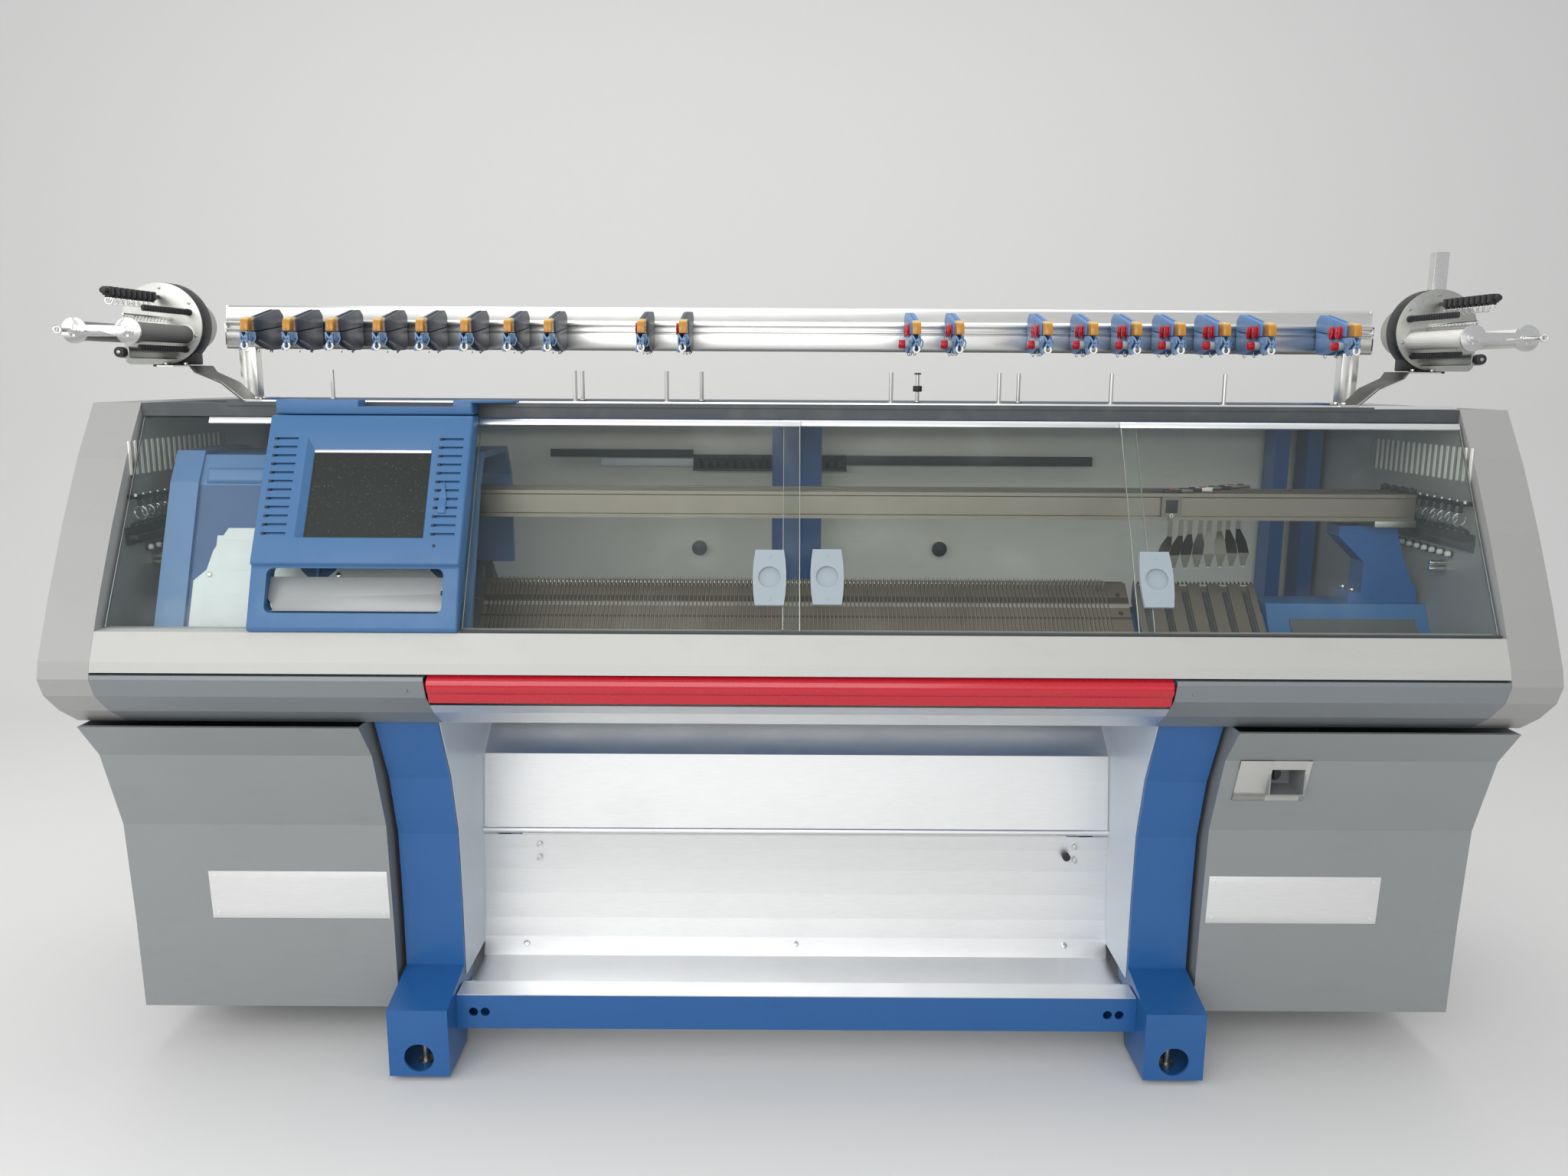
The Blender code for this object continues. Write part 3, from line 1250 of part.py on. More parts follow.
def cabinet(name, side):
    """A side cabinet with a hollow-curved front, open at the top under the casing."""
    start, end = side * CABINET_INNER, side * CABINET_OUTER
    wall = CABINET_WALL
    outline = [*cabinet_front(), (CABINET_BACK, CABINET_LOW), (CABINET_BACK, CABINET_TOP)]
    made = outline_solid(name, [outline], start, end)
    round_rim(made, start, CABINET_ROUND)
    round_rim(made, end, CABINET_ROUND)
    front = [(y + wall, z) for y, z in cabinet_front()]
    front[0] = (front[0][0], CABINET_TOP + OVERRUN)
    front[-1] = (front[-1][0], CABINET_LOW + wall)
    inside = [*front, (CABINET_BACK - wall, CABINET_LOW + wall), (CABINET_BACK - wall, CABINET_TOP + OVERRUN)]
    cut(made, outline_solid(name + "_inside", [inside], start + side * wall, end - side * wall))
    if side > 0:
        switch_port(made)
    return as_node(made, name, "silver")


def cabinet_face(height):
    points = list(reversed(cabinet_front()))
    for (y0, z0), (y1, z1) in zip(points, points[1:]):
        if z0 <= height <= z1:
            return y0 + (y1 - y0) * (height - z0) / (z1 - z0)
    return points[-1][0]


def port_back():
    return cabinet_face(PORT_LOW) + SWITCH_LENGTH


def switch_port(made):
    """The square port in the right cabinet with the plate behind it that carries the switch."""
    wall = CABINET_WALL
    front = cabinet_face(PORT_HIGH) - OVERRUN
    shell_low = (PORT_LEFT - wall, cabinet_face(PORT_HIGH), PORT_LOW - wall)
    shell_high = (PORT_RIGHT + wall, port_back() + wall, PORT_HIGH + wall)
    weld_on(made, box("port_shell", shell_low, shell_high))
    cut(made, box("port_space", (PORT_LEFT, front, PORT_LOW), (PORT_RIGHT, port_back(), PORT_HIGH)))


def main_switch():
    """A round knob on the end of the switch shaft."""
    x, z = (PORT_LEFT + PORT_RIGHT) / 2 - SWITCH_CAP, (PORT_LOW + PORT_HIGH) / 2 + SWITCH_CAP / 2
    back = port_back() - GAP
    front, neck = back - SWITCH_LENGTH * SWITCH_KNOB_SHARE, back - SWITCH_LENGTH * SWITCH_NECK_SHARE
    knob = rod("main_switch", (x, front, z), (x, front + SWITCH_CAP, z), SWITCH_RADIUS, 20)
    weld_on(knob, rod("switch_shaft", (x, neck, z), (x, back, z), SWITCH_SHAFT, 12))
    as_node(knob, "main_switch", "dark")
    carried_by("main_switch_axis", (x, back, z), knob)


def bay_half():
    return LEG_INNER - GAP - LINER_SHEET


def liner(name, side):
    """A side wall of the take-down bay, its front edge following the leg."""
    front = [(y + LEG_PLATE * 2, z) for y, z in leg_front()]
    front[0] = (front[0][0], LEG_TOP - SHEET)
    outline = [*front, (front[-1][0], BEAM_HIGH + SHEET), (LINER_BACK, BEAM_HIGH + SHEET),
               (LINER_BACK, LEG_TOP - SHEET)]
    made = outline_solid(name, [outline], side * bay_half(), side * (bay_half() + LINER_SHEET))
    return as_node(made, name, "light")


def hinge_axis():
    return (FLAP_FOOT_BACK + FLAP_THICK / 2, FLAP_FOOT_HEIGHT)


def takedown_flap():
    """The upper front of the bay, hinged along its foot, with a pin at each end."""
    path = [(FLAP_TOP_BACK, FLAP_TOP_HEIGHT), (FLAP_EDGE_BACK, FLAP_EDGE_HEIGHT),
            (FLAP_FOOT_BACK, FLAP_FOOT_HEIGHT)]
    half = bay_half() - RUNNING
    flap = outline_solid("takedown_flap", [sheet_outline(path, FLAP_THICK)], -half, half)
    y, z = hinge_axis()
    pin = rod("flap_pin", (GAP - bay_half(), y, z), (bay_half() - GAP, y, z), HINGE_RADIUS, 16)
    weld_on(flap, pin)
    as_node(flap, "takedown_flap", "aluminium")
    carried_by("takedown_flap_axis", (0, y, z), flap)


def takedown_panel():
    """The lower front of the bay and its tray, one bent sheet that rests on the cross beam."""
    y, z = hinge_axis()
    top = z - HINGE_RADIUS - RUNNING
    foot = BAY_PANEL_FOOT_BACK
    rest = BEAM_HIGH + GAP
    back = BEAM_FRONT + BEAM_DEPTH
    deep = top - BAY_TRAY_HEIGHT
    path = [(y, top)]
    path += [(y - BAY_HOLLOW * math.sin(math.pi * s) + (foot - y) * s * s, top - deep * s)
             for s in BAY_CURVE_SHARES]
    path += [(back + SHEET * 2, BAY_TRAY_HEIGHT), (back + SHEET, rest), (BEAM_FRONT, rest)]
    half = bay_half() - GAP
    made = outline_solid("takedown_panel", [sheet_outline(path, -BAY_SHEET)], -half, half)
    return as_node(made, "takedown_panel", "aluminium")


def takedown_roller():
    """The roller that draws the fabric down, on a journal at each end."""
    half = bay_half() - GAP
    y, z = ROLLER_BACK, ROLLER_HEIGHT
    roller = rod("takedown_roller", (-half + ROLLER_SHOULDER, y, z), (half - ROLLER_SHOULDER, y, z),
                 ROLLER_RADIUS, ROLLER_SIDES)
    weld_on(roller, rod("journal", (-half, y, z), (half, y, z), HINGE_RADIUS, 16))
    as_node(roller, "takedown_roller", "dark")
    carried_by("takedown_roller_axis", (0, y, z), roller)


def rear_cover(name, side):
    """A shallow pan that closes the back of the casing, with a round plug."""
    inner, outer = REAR_POST_HALF, inner_half_width() - GAP
    low_x, high_x = sorted((side * inner, side * outer))
    top = CASING_TOP - DECK_THICK
    front, back = CASING_REACH - REAR_FOLD, CASING_REACH
    made = box(name, (low_x, front, REAR_LOW), (high_x, back, top))
    sheet = REAR_SHEET
    cut(made, box(name + "_pan", (low_x + sheet, front - OVERRUN, REAR_LOW + sheet),
                  (high_x - sheet, back - sheet, top - sheet)))
    x = PLUG_PLACES[0] if side < 0 else PLUG_PLACES[1]
    weld_on(made, rod(name + "_plug", (x, back - sheet * 2, PLUG_HEIGHT), (x, back - sheet / 2, PLUG_HEIGHT),
                      PLUG_RADIUS, 20))
    return as_node(made, name, "light")


def rear_uprights():
    """The posts and top rail behind the beds that carry the back of the deck."""
    bottom = LEG_TOP + GAP + FRAME_WEB + GAP
    rail, top = CASING_TOP - UPRIGHT_RAIL, CASING_TOP
    half = inner_half_width() - GAP
    posts = [(-REAR_POST_HALF, REAR_POST_HALF)]
    for x in POST_PLACES:
        posts += [(x, x + POST_THICK), (-x - POST_THICK, -x)]
    outline = [(-half, top), (-half, rail)]
    for left, right in sorted(posts):
        outline += [(left, rail), (left, bottom), (right, bottom), (right, rail)]
    outline += [(half, rail), (half, top)]
    back = CASING_REACH - REAR_FOLD - GAP
    made = outline_solid("rear_uprights", [outline], back - POST_DEPTH, back, plane="xz")
    arms = [
        box("arm", (left, DECK_FRONT + DECK_DEPTH + GAP, rail + OVERRUN),
            (right, back - POST_DEPTH / 2, top - SHEET))
        for left, right in sorted(posts)
    ]
    weld_on(made, joined("arms", arms))
    return as_node(made, "rear_uprights", "blue")


def yarn_beam():
    """The extruded beam over the machine on two posts, with its row of yarn control units."""
    back, depth, low, high = YARN_BEAM_BACK, YARN_BEAM_DEPTH, YARN_BEAM_LOW, YARN_BEAM_HIGH
    front, groove, tall = back - depth, YARN_BEAM_GROOVE, high - low
    ridge, shelf, groove_top, groove_foot = (low + tall * s for s in YARN_BEAM_STEP_SHARES)
    section = [
        (back, low), (back, high), (back - depth / 2, high), (back - depth / 2, ridge),
        (front, shelf), (front, groove_top), (front + groove, groove_top),
        (front + groove, groove_foot), (front, groove_foot), (front, low),
    ]
    beam = outline_solid("yarn_beam", [section], -YARN_BEAM_HALF, YARN_BEAM_HALF)
    deck = CASING_TOP + GAP
    posts = [
        box("post", (side * YARN_POST_AT - YARN_POST / 2, front, deck),
            (side * YARN_POST_AT + YARN_POST / 2, back, low + groove))
        for side in (-1, 1)
    ]
    unit_front = front - UNIT_LENGTH + groove * 2
    units = []
    for x in UNIT_PLACES:
        loop = [(unit_front + UNIT_LENGTH * along, UNIT_LOW + (UNIT_HIGH - UNIT_LOW) * up)
                for along, up in UNIT_SHARES]
        units.append(outline_solid("unit", [loop], x - UNIT_WIDTH / 2, x + UNIT_WIDTH / 2))
    weld_on(beam, joined("posts", posts), joined("units", units))
    return as_node(beam, "yarn_beam", "aluminium")


def feeder_housing(name, side):
    """A friction feeder: motor and drum on a bent arm, two fixed axles, their link and the thread comb."""
    x, z = side * DRUM_X, DRUM_HEIGHT
    front = DRUM_FRONT
    drum = rod(name, (x, front, z), (x, front + DRUM_DEPTH, z), DRUM_RADIUS, 32)
    behind = front + DRUM_DEPTH
    motor = rod("motor", (x - side * MOTOR_OFFSET, behind - SHEET, z),
                (x - side * MOTOR_OFFSET, behind + MOTOR_DEPTH, z), MOTOR_RADIUS, 24)
    left, right = sorted((side * ROLL_INNER, side * ROLL_OUTER))
    r = PLATE_RADIUS
    capsule = (arc((right, ROLL_HEIGHT), r, -math.pi / 2, math.pi / 2, 8)
               + arc((left, ROLL_HEIGHT), r, math.pi / 2, math.pi * 1.5, 8))
    plate = outline_solid("plate", [capsule], front - SHEET, front + SHEET, plane="xz")
    axle_end = front - SHEET - ROLL_LENGTH - ROLL_END_GAP * 2 - LINK_THICK
    tools = [motor, plate]
    for at in (ROLL_INNER, ROLL_OUTER):
        tools.append(rod("axle", (side * at, axle_end - SHEET, ROLL_HEIGHT), (side * at, front, ROLL_HEIGHT),
                         AXLE_RADIUS, 16))
    reach = math.sqrt(LINK_RADIUS ** 2 - LINK_WAIST ** 2)
    turn = math.atan2(LINK_WAIST, reach)
    bone = (arc((right, ROLL_HEIGHT), LINK_RADIUS, -math.pi + turn, math.pi - turn, 16)
            + arc((left, ROLL_HEIGHT), LINK_RADIUS, turn, 2 * math.pi - turn, 16))
    tools.append(outline_solid("link", [bone], axle_end, axle_end + LINK_THICK, plane="xz"))
    comb_y = front - COMB_LENGTH
    tools.append(rod("comb", (side * COMB_X, comb_y, COMB_HEIGHT),
                     (side * COMB_X, front + SHEET, COMB_HEIGHT), COMB_RADIUS, 12))
    tools.append(feeder_arm(side))
    if side > 0:
        tools.append(channel_stub(front))
    weld_on(drum, *tools)
    return as_node(drum, name, "zinc")


def feeder_arm(side):
    """The wide sheet that rises from the deck past the beam's post and out under the drum."""
    deck = CASING_TOP + TRAY_RISE + GAP
    under = DRUM_HEIGHT - DRUM_RADIUS
    path = [(ARM_FOOT_X - ARM_FOOT_LENGTH, deck), (ARM_FOOT_X, deck), (ARM_BEND_X, deck + ARM_BEND_RISE),
            (ARM_KNEE_X, under - ARM_KNEE_DROP), (ARM_SHOULDER_X, under), (DRUM_X, under)]
    loop = [(side * a, b) for a, b in sheet_outline(path, ARM_SHEET)]
    behind = DRUM_FRONT + DRUM_DEPTH
    arm = outline_solid("arm", [loop], ARM_FOOT_FRONT - OVERRUN, behind + OVERRUN, plane="xz")
    inner, outer = ARM_FOOT_X - ARM_FOOT_LENGTH - OVERRUN, DRUM_X + OVERRUN
    plan = [(inner, ARM_FOOT_FRONT), (ARM_FOOT_X, ARM_FOOT_FRONT), (ARM_FRONT_X, ARM_FRONT),
            (outer, ARM_END_FRONT), (outer, behind), (ARM_SHOULDER_X, behind),
            (ARM_FOOT_X, ARM_FOOT_BACK), (inner, ARM_FOOT_BACK)]
    shape = outline_solid("arm_plan", [[(side * a, b) for a, b in plan]], CASING_TOP, DRUM_HEIGHT, plane="xy")
    boolean(arm, shape, "INTERSECT")
    return arm


def channel_stub(front):
    """The short open channel that stands beside the right drum."""
    half, depth, wall = CHANNEL_WIDTH / 2, CHANNEL_DEPTH, CHANNEL_WALL
    x, y = CHANNEL_X, front + SHEET
    loop = [(x - half, y), (x + half, y), (x + half, y + wall), (x - half + wall, y + wall),
            (x - half + wall, y + depth), (x - half, y + depth)]
    return outline_solid("channel", [loop], DRUM_HEIGHT, CHANNEL_TOP, plane="xy")


def feeder_rolls():
    """The sleeves that turn on the feeders' axles."""
    for word, side in (("left", -1), ("right", 1)):
        for place, at in (("inner", ROLL_INNER), ("outer", ROLL_OUTER)):
            name = f"feed_roll_{word}_{place}"
            end = DRUM_FRONT - SHEET - ROLL_END_GAP
            x = side * at
            ring = [arc((x, ROLL_HEIGHT), radius, 0, 2 * math.pi * (1 - 1 / sides), sides - 1)
                    for radius, sides in ((ROLL_RADIUS, 24), (ROLL_BORE, 16))]
            roll = outline_solid(name, ring, end - ROLL_LENGTH, end, plane="xz")
            as_node(roll, name, "aluminium")
            carried_by(name + "_axis", (x, end, ROLL_HEIGHT), roll)


def main():
    clear_scene()
    end_covers()
    front_sill()
    fascias()
    engaging_bar()
    lower_front_rail()
    windows()
    top_deck()
    for word, side in (("left", -1), ("right", 1)):
        leg("leg_" + word, side)
        rail_support("rail_support_" + word, side)
        cabinet("cabinet_" + word, side)
        liner("bay_liner_" + word, side)
        rear_cover("rear_cover_" + word, side)
        feeder_housing("feeder_" + word, side)
    levelling_feet()
    rear_frame()
    front_cross_beam()
    bed_frame()
    needle_beds()
    yarn_guide_rails()
    for index in range(GUIDES):
        yarn_guide(index)
    carriage()
    operator_panel()
    document_tray()
    main_switch()
    takedown_flap()
    takedown_panel()
    takedown_roller()
    rear_uprights()
    yarn_beam()
    feeder_rolls()


main()
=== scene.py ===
"""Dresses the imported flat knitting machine: finishes, yarn gear, needles, small parts and a plain studio.

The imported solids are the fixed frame. Each operator adds one piece or one group of like pieces, in metres,
with +X along the needle beds, +Y away from the operator and +Z up.
"""

import math

import bpy
from mathutils import Matrix, Vector


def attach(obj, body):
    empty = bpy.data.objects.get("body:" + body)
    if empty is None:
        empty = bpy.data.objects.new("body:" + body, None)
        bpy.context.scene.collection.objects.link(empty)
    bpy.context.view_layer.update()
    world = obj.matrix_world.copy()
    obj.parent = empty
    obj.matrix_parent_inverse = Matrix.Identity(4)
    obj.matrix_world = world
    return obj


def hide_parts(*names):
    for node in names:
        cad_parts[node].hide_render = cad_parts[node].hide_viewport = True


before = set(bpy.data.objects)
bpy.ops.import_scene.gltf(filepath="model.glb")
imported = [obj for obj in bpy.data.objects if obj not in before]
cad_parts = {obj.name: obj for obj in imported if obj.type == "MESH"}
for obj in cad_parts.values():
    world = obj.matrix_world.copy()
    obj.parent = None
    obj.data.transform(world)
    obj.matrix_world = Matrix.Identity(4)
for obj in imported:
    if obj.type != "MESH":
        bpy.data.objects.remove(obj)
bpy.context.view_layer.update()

bl_info = {
    "name": "Flat knitting machine",
    "version": (1, 0, 0),
    "blender": (4, 5, 0),
    "location": "3D View > Sidebar > Knitting",
    "description": "Finishes and small parts for a flat knitting machine",
    "category": "Object",
}

WORDS = {-1: "left", 1: "right"}
BEDS = ((-1, "front", "machine"), (1, "rear", "racking_bed"))

# Places that the solids give
GAP_PLANE = -0.1
NEEDLE_PITCH = 0.00847
BED_TOP = 0.985
BED_GAP = 0.01
WINDOW_LEAN = math.radians(28)
GLASS_FOOT = (-0.4044, 0.94)
DOOR_STEP = 0.009
DECK_TOP = 1.349
UNIT_PLACES = (-1.12, -1.035, -0.948, -0.853, -0.767, -0.677, -0.59, -0.509, -0.321, -0.237,
               0.235, 0.322, 0.5, 0.592, 0.68, 0.768, 0.859, 0.95, 1.122)
# How many units at the left take the darker blue of painted shade.
DARK_UNITS = 10
DRUM = Vector((1.379, 0.1, 1.507))
DRUM_RADIUS = 0.088
ROLL_INNER, ROLL_OUTER, ROLL_HEIGHT = 1.331, 1.437, 1.484
CARRIAGE_START, CARRIAGE_WIDE = -1.222, 0.6
RAIL_PLACES = tuple(-0.1525 + 0.035 * i for i in range(4))
CASING_REACH = 0.452
CABINET_FOOT, CABINET_TOP = 0.1, 0.7457

# Shares of the reach and of the height along the cabinets' curved front, from the top down
CABINET_FRONT = ((0.83, 1.0), (0.695, 0.885), (0.569, 0.63), (0.542, 0.3), (0.531, 0.0))


def linear(code):
    """A colour written as six hex digits, or one of the settings, in the linear values that shaders take."""
    if code.startswith("set_"):
        return tuple(getattr(bpy.context.scene.machine_looks, code[4:]))
    parts = [int(code[i:i + 2], 16) / 255 for i in (0, 2, 4)]
    return tuple(c / 12.92 if c <= 0.04045 else ((c + 0.055) / 1.055) ** 2.4 for c in parts)


# shader values

class Value:
    """A socket that takes part in Python sums, each of which adds its Math node."""

    def __init__(self, finish, socket):
        self.finish, self.socket = finish, socket

    def maths(self, operation, *others, flipped=False):
        order = (*others, self) if flipped else (self, *others)
        return self.finish.add("Math", {"operation": operation}, dict(enumerate(order)))

    def __add__(self, other):
        return self.maths("ADD", other)

    __radd__ = __add__

    def __mul__(self, other):
        return self.maths("MULTIPLY", other)

    __rmul__ = __mul__

    def __sub__(self, other):
        return self.maths("SUBTRACT", other)

    def __rsub__(self, other):
        return self.maths("SUBTRACT", other, flipped=True)

    def __truediv__(self, other):
        return self.maths("DIVIDE", other)

    def __gt__(self, other):
        return self.maths("GREATER_THAN", other)

    def __lt__(self, other):
        return self.maths("LESS_THAN", other)

    def clamped(self):
        return self.maths("MAXIMUM", 0.0).maths("MINIMUM", 1.0)


class Finish:
    """One procedural material, built from its Principled shader back."""

    def __init__(self, name):
        self.material = bpy.data.materials.new(name)
        self.material.use_nodes = True
        self.tree = self.material.node_tree
        self.shader = self.tree.nodes["Principled BSDF"]
        self.output = self.tree.nodes["Material Output"]
        self.place = None

    def add(self, kind, settings=None, sockets=None, output=0):
        """A node of a kind with its settings made first and its sockets fed with values or links."""
        node = self.tree.nodes.new("ShaderNode" + kind)
        for key, value in (settings or {}).items():
            if key == "stops":
                ramp = node.color_ramp.elements
                while len(ramp) < len(value):
                    ramp.new(0.5)
                for stop, (at, colour) in zip(ramp, value):
                    stop.position, stop.color = at, (*colour, 1)
            else:
                setattr(node, key, value)
        for key, value in (sockets or {}).items():
            self.feed(node.inputs[key], value)
        return Value(self, node.outputs[output])

    def feed(self, socket, value):
        if isinstance(value, Value):
            self.tree.links.new(value.socket, socket)
        elif socket.type == "RGBA" and len(value) == 3:
            socket.default_value = (*value, 1)
        else:
            socket.default_value = value

    def set(self, **inputs):
        """Feed the shader's own sockets, underscores standing for spaces."""
        for key, value in inputs.items():
            self.feed(self.shader.inputs[key.replace("_", " ")], value)
        return self

    def here(self):
        """The object's own coordinates in metres."""
        if self.place is None:
            self.place = self.add("TexCoord", output=3)
        return self.place

    def split(self):
        made = self.add("SeparateXYZ", None, {0: self.here()})
        return [Value(self, made.socket.node.outputs[i]) for i in range(3)]

    def stretched(self, x, y, z, turn=(0, 0, 0)):
        return self.add("Mapping", None, {"Vector": self.here(), "Scale": (x, y, z), "Rotation": turn})

    def noise(self, scale, detail=2.0, where=None, rough=0.5):
        return self.add("TexNoise", None, {"Vector": where or self.here(), "Scale": scale, "Detail": detail,
                                           "Roughness": rough})

    def mix(self, factor, a, b):
        return self.add("Mix", {"data_type": "RGBA"}, {0: factor, 6: a, 7: b}, output=2)

    def band(self, value, low, high, soft=0.0008):
        """One between two values and nought outside, with soft edges."""
        return ((value - low) / soft).clamped() * ((high - value) / soft).clamped()

    def bump(self, height, strength=0.3, distance=0.001):
        return self.add("Bump", None, {"Strength": strength, "Distance": distance, "Height": height})


def shade(colour, factor):
    return tuple(min(1.0, c * factor) for c in colour)


def paint(name, code, rough=0.45, grain=1200, relief=0.25, metal=0.0, dirt=0.12, coat=0.0):
    """Powder paint: a fine grain, soft stains and scuffs that change the gloss."""
    finish = Finish(name)
    colour = linear(code)
    fine = finish.noise(grain, 1.0)
    broad = finish.noise(4.0, 4.0)
    marks = finish.noise(1.0, 6.0, finish.stretched(9, 9, 30), 0.65)
    stain = ((marks - 0.56) * 6).clamped() * dirt
    base = finish.mix(fine, shade(colour, 0.9), shade(colour, 1.1))
    base = finish.mix((broad - 0.35) * 0.5, base, shade(colour, 0.86))
    base = finish.mix(stain, base, shade(colour, 0.6))
    finish.set(Base_Color=base, Metallic=metal, Roughness=fine * 0.12 + broad * 0.16 + (rough - 0.14),
               Normal=finish.bump(fine, relief, 0.0006))
    finish.shader.inputs["Coat Weight"].default_value = coat
    finish.shader.inputs["Coat Roughness"].default_value = 0.12
    return finish


def metal(name, code, rough=0.32, along=(1, 60, 60), lines=40, relief=0.12, worn=0.3):
    """Brushed or drawn metal: fine lines that run one way, with dull patches."""
    finish = Finish(name)
    colour = linear(code)
    brushed = finish.noise(lines, 3.0, finish.stretched(*along))
    patches = finish.noise(7.0, 5.0)
    base = finish.mix(brushed, shade(colour, 0.82), shade(colour, 1.12))
    base = finish.mix(((patches - 0.5) * 3).clamped() * worn, base, shade(colour, 0.62))
    finish.set(Base_Color=base, Metallic=1.0, Roughness=brushed * 0.14 + patches * 0.2 + (rough - 0.17),
               Normal=finish.bump(brushed, relief, 0.0004))
    return finish


def plastic(name, code, rough=0.35, relief=0.08, grain=900, speckle=0.06):
    """Moulded plastic with a faint spark-eroded grain and handling marks."""
    finish = Finish(name)
    colour = linear(code)
    fine = finish.noise(grain, 2.0)
    broad = finish.noise(25.0, 3.0)
    base = finish.mix(fine, shade(colour, 1 - speckle), shade(colour, 1 + speckle))
    base = finish.mix(((broad - 0.5) * 2).clamped() * 0.3, base, shade(colour, 0.78))
    finish.set(Base_Color=base, Roughness=broad * 0.2 + fine * 0.06 + (rough - 0.13),
               Normal=finish.bump(fine, relief, 0.0004))
    return finish


def window_glass():
    """Clear sheet with faint smudges: reflection mixed over what stands behind it."""
    finish = Finish("window_glass")
    smudge = finish.noise(3.0, 6.0, finish.stretched(2, 4, 1))
    edge = finish.add("Fresnel", None, {"IOR": 1.45})
    factor = (edge * 0.55 + ((smudge - 0.57) * 0.22).clamped()).clamped()
    finish.set(Base_Color=linear("dfe6e6"), Metallic=0.0, Roughness=0.04)
    finish.shader.inputs["Specular IOR Level"].default_value = 1.0
    clear = finish.add("BsdfTransparent", None, {0: linear("fbfdfc")})
    mixed = finish.add("MixShader", None, {0: factor, 1: clear, 2: Value(finish, finish.shader.outputs[0])})
    finish.tree.links.new(mixed.socket, finish.output.inputs["Surface"])
    return finish


def screen_glass():
    """Grey display glass with dust and finger marks."""
    finish = Finish("screen_glass")
    dust = finish.noise(260, 4.0)
    cloud = finish.noise(14, 4.0)
    base = finish.mix(((dust - 0.6) * 9).clamped() * 0.35, linear("272d2b"), linear("6c726d"))
    finish.set(Base_Color=finish.mix(cloud * 0.35, base, linear("181c1b")), Roughness=cloud * 0.3 + 0.22)
    finish.shader.inputs["Specular IOR Level"].default_value = 0.25
    return finish


def amber_lens_painted_light():
    """Amber plastic with painted light: a pale gold painted highlight on the face towards the operator and on
    the top, browner painted shade on its cheeks.
    """
    finish = Finish("amber_lens_painted_light")
    _, y, z = finish.split()
    fine = finish.noise(300, 2.0)
    # Painted highlight on the face towards the operator; the cheeks keep the browner painted shade.
    front = ((y * -1 - 0.066) * 60).clamped()
    base = finish.mix(front, linear("6b431a"), linear("b9822f"))
    # Painted highlight along the top of the lens.
    top = ((z - 1.508) * 260).clamped()
    base = finish.mix(top * 0.8, base, linear("e3c173"))
    base = finish.mix(fine * 0.25, base, linear("a8742a"))
    finish.set(Base_Color=base, Roughness=fine * 0.12 + 0.2)
    return finish


def bed_metal():
    """Ground bed steel, browned by oil, with darker bands across its slope and painted shade in its needle
    grooves.
    """
    finish = Finish("bed_steel")
    x, _, z = finish.split()
    down = (BED_TOP - z) / math.sqrt(0.5)
    lines = finish.noise(90, 3.0, finish.stretched(1, 40, 40))
    stain = finish.noise(11, 4.0)
    base = finish.mix(lines, linear("6b5f52"), linear("9a8b79"))
    dark = finish.band(down, 0.036, 0.05) + finish.band(down, 0.084, 0.09) + finish.band(down, 0.15, 0.154)
    base = finish.mix(dark.clamped() * 0.75, base, linear("39332d"))
    base = finish.mix(finish.band(down, 0.052, 0.062) * 0.6, base, linear("d8d2c8"))
    # Painted shade in the needle grooves: the lanes over the grooves are darkened.
    groove = ((x / NEEDLE_PITCH).maths("FRACT") - 0.5).maths("ABSOLUTE") < 0.2
    lanes = groove * finish.band(down, 0.012, 0.142) * (x.maths("ABSOLUTE") < 0.636)
    base = finish.mix(lanes * 0.7, base, linear("2f2a24"))
    base = finish.mix(((stain - 0.48) * 3).clamped() * 0.5, base, linear("4e463d"))
    finish.set(Base_Color=base, Metallic=0.75, Roughness=lines * 0.2 + stain * 0.2 + 0.2,
               Normal=finish.bump(lines, 0.15, 0.0004))
    return finish


def casting_blue():
    """The frame's textured blue enamel, with bare steel on the clamp plates' faces."""
    finish = Finish("casting_blue")
    x, y, z = finish.split()
    colour = linear("3a6ea3")
    fine = finish.noise(700, 2.0)
    broad = finish.noise(6, 4.0)
    base = finish.mix(fine, shade(colour, 0.85), shade(colour, 1.15))
    base = finish.mix(((broad - 0.5) * 3).clamped() * 0.35, base, shade(colour, 0.6))
    along = x.maths("ABSOLUTE")
    slope = y * -1 + z
    plates = finish.band(along, 0.6895, 0.9405) * (slope > 1.07) * (y < -0.105)
    steel = finish.mix(finish.noise(90, 3.0, finish.stretched(30, 1, 1)), linear("6b635a"), linear("93897c"))
    finish.set(Base_Color=finish.mix(plates, base, steel), Metallic=plates * 0.8,
               Roughness=fine * 0.1 + broad * 0.2 + 0.25, Normal=finish.bump(fine, 0.25, 0.0006))
    return finish


def deck_finish():
    """Dark painted deck with bright pins and a bright front lip."""
    finish = Finish("deck_finish")
    z = finish.split()[2]
    fine = finish.noise(900, 2.0)
    dust = finish.noise(18, 5.0)
    pins = z > DECK_TOP + 0.0005
    base = finish.mix(fine, linear("3c3f42"), linear("4c5053"))
    base = finish.mix(((dust - 0.5) * 3).clamped() * 0.4, base, linear("6b6c6a"))
    finish.set(Base_Color=finish.mix(pins, base, linear("c9c9c6")), Metallic=pins * 1.0,
               Roughness=0.5 - pins * 0.25 + dust * 0.1, Normal=finish.bump(fine, 0.1, 0.0004))
    return finish


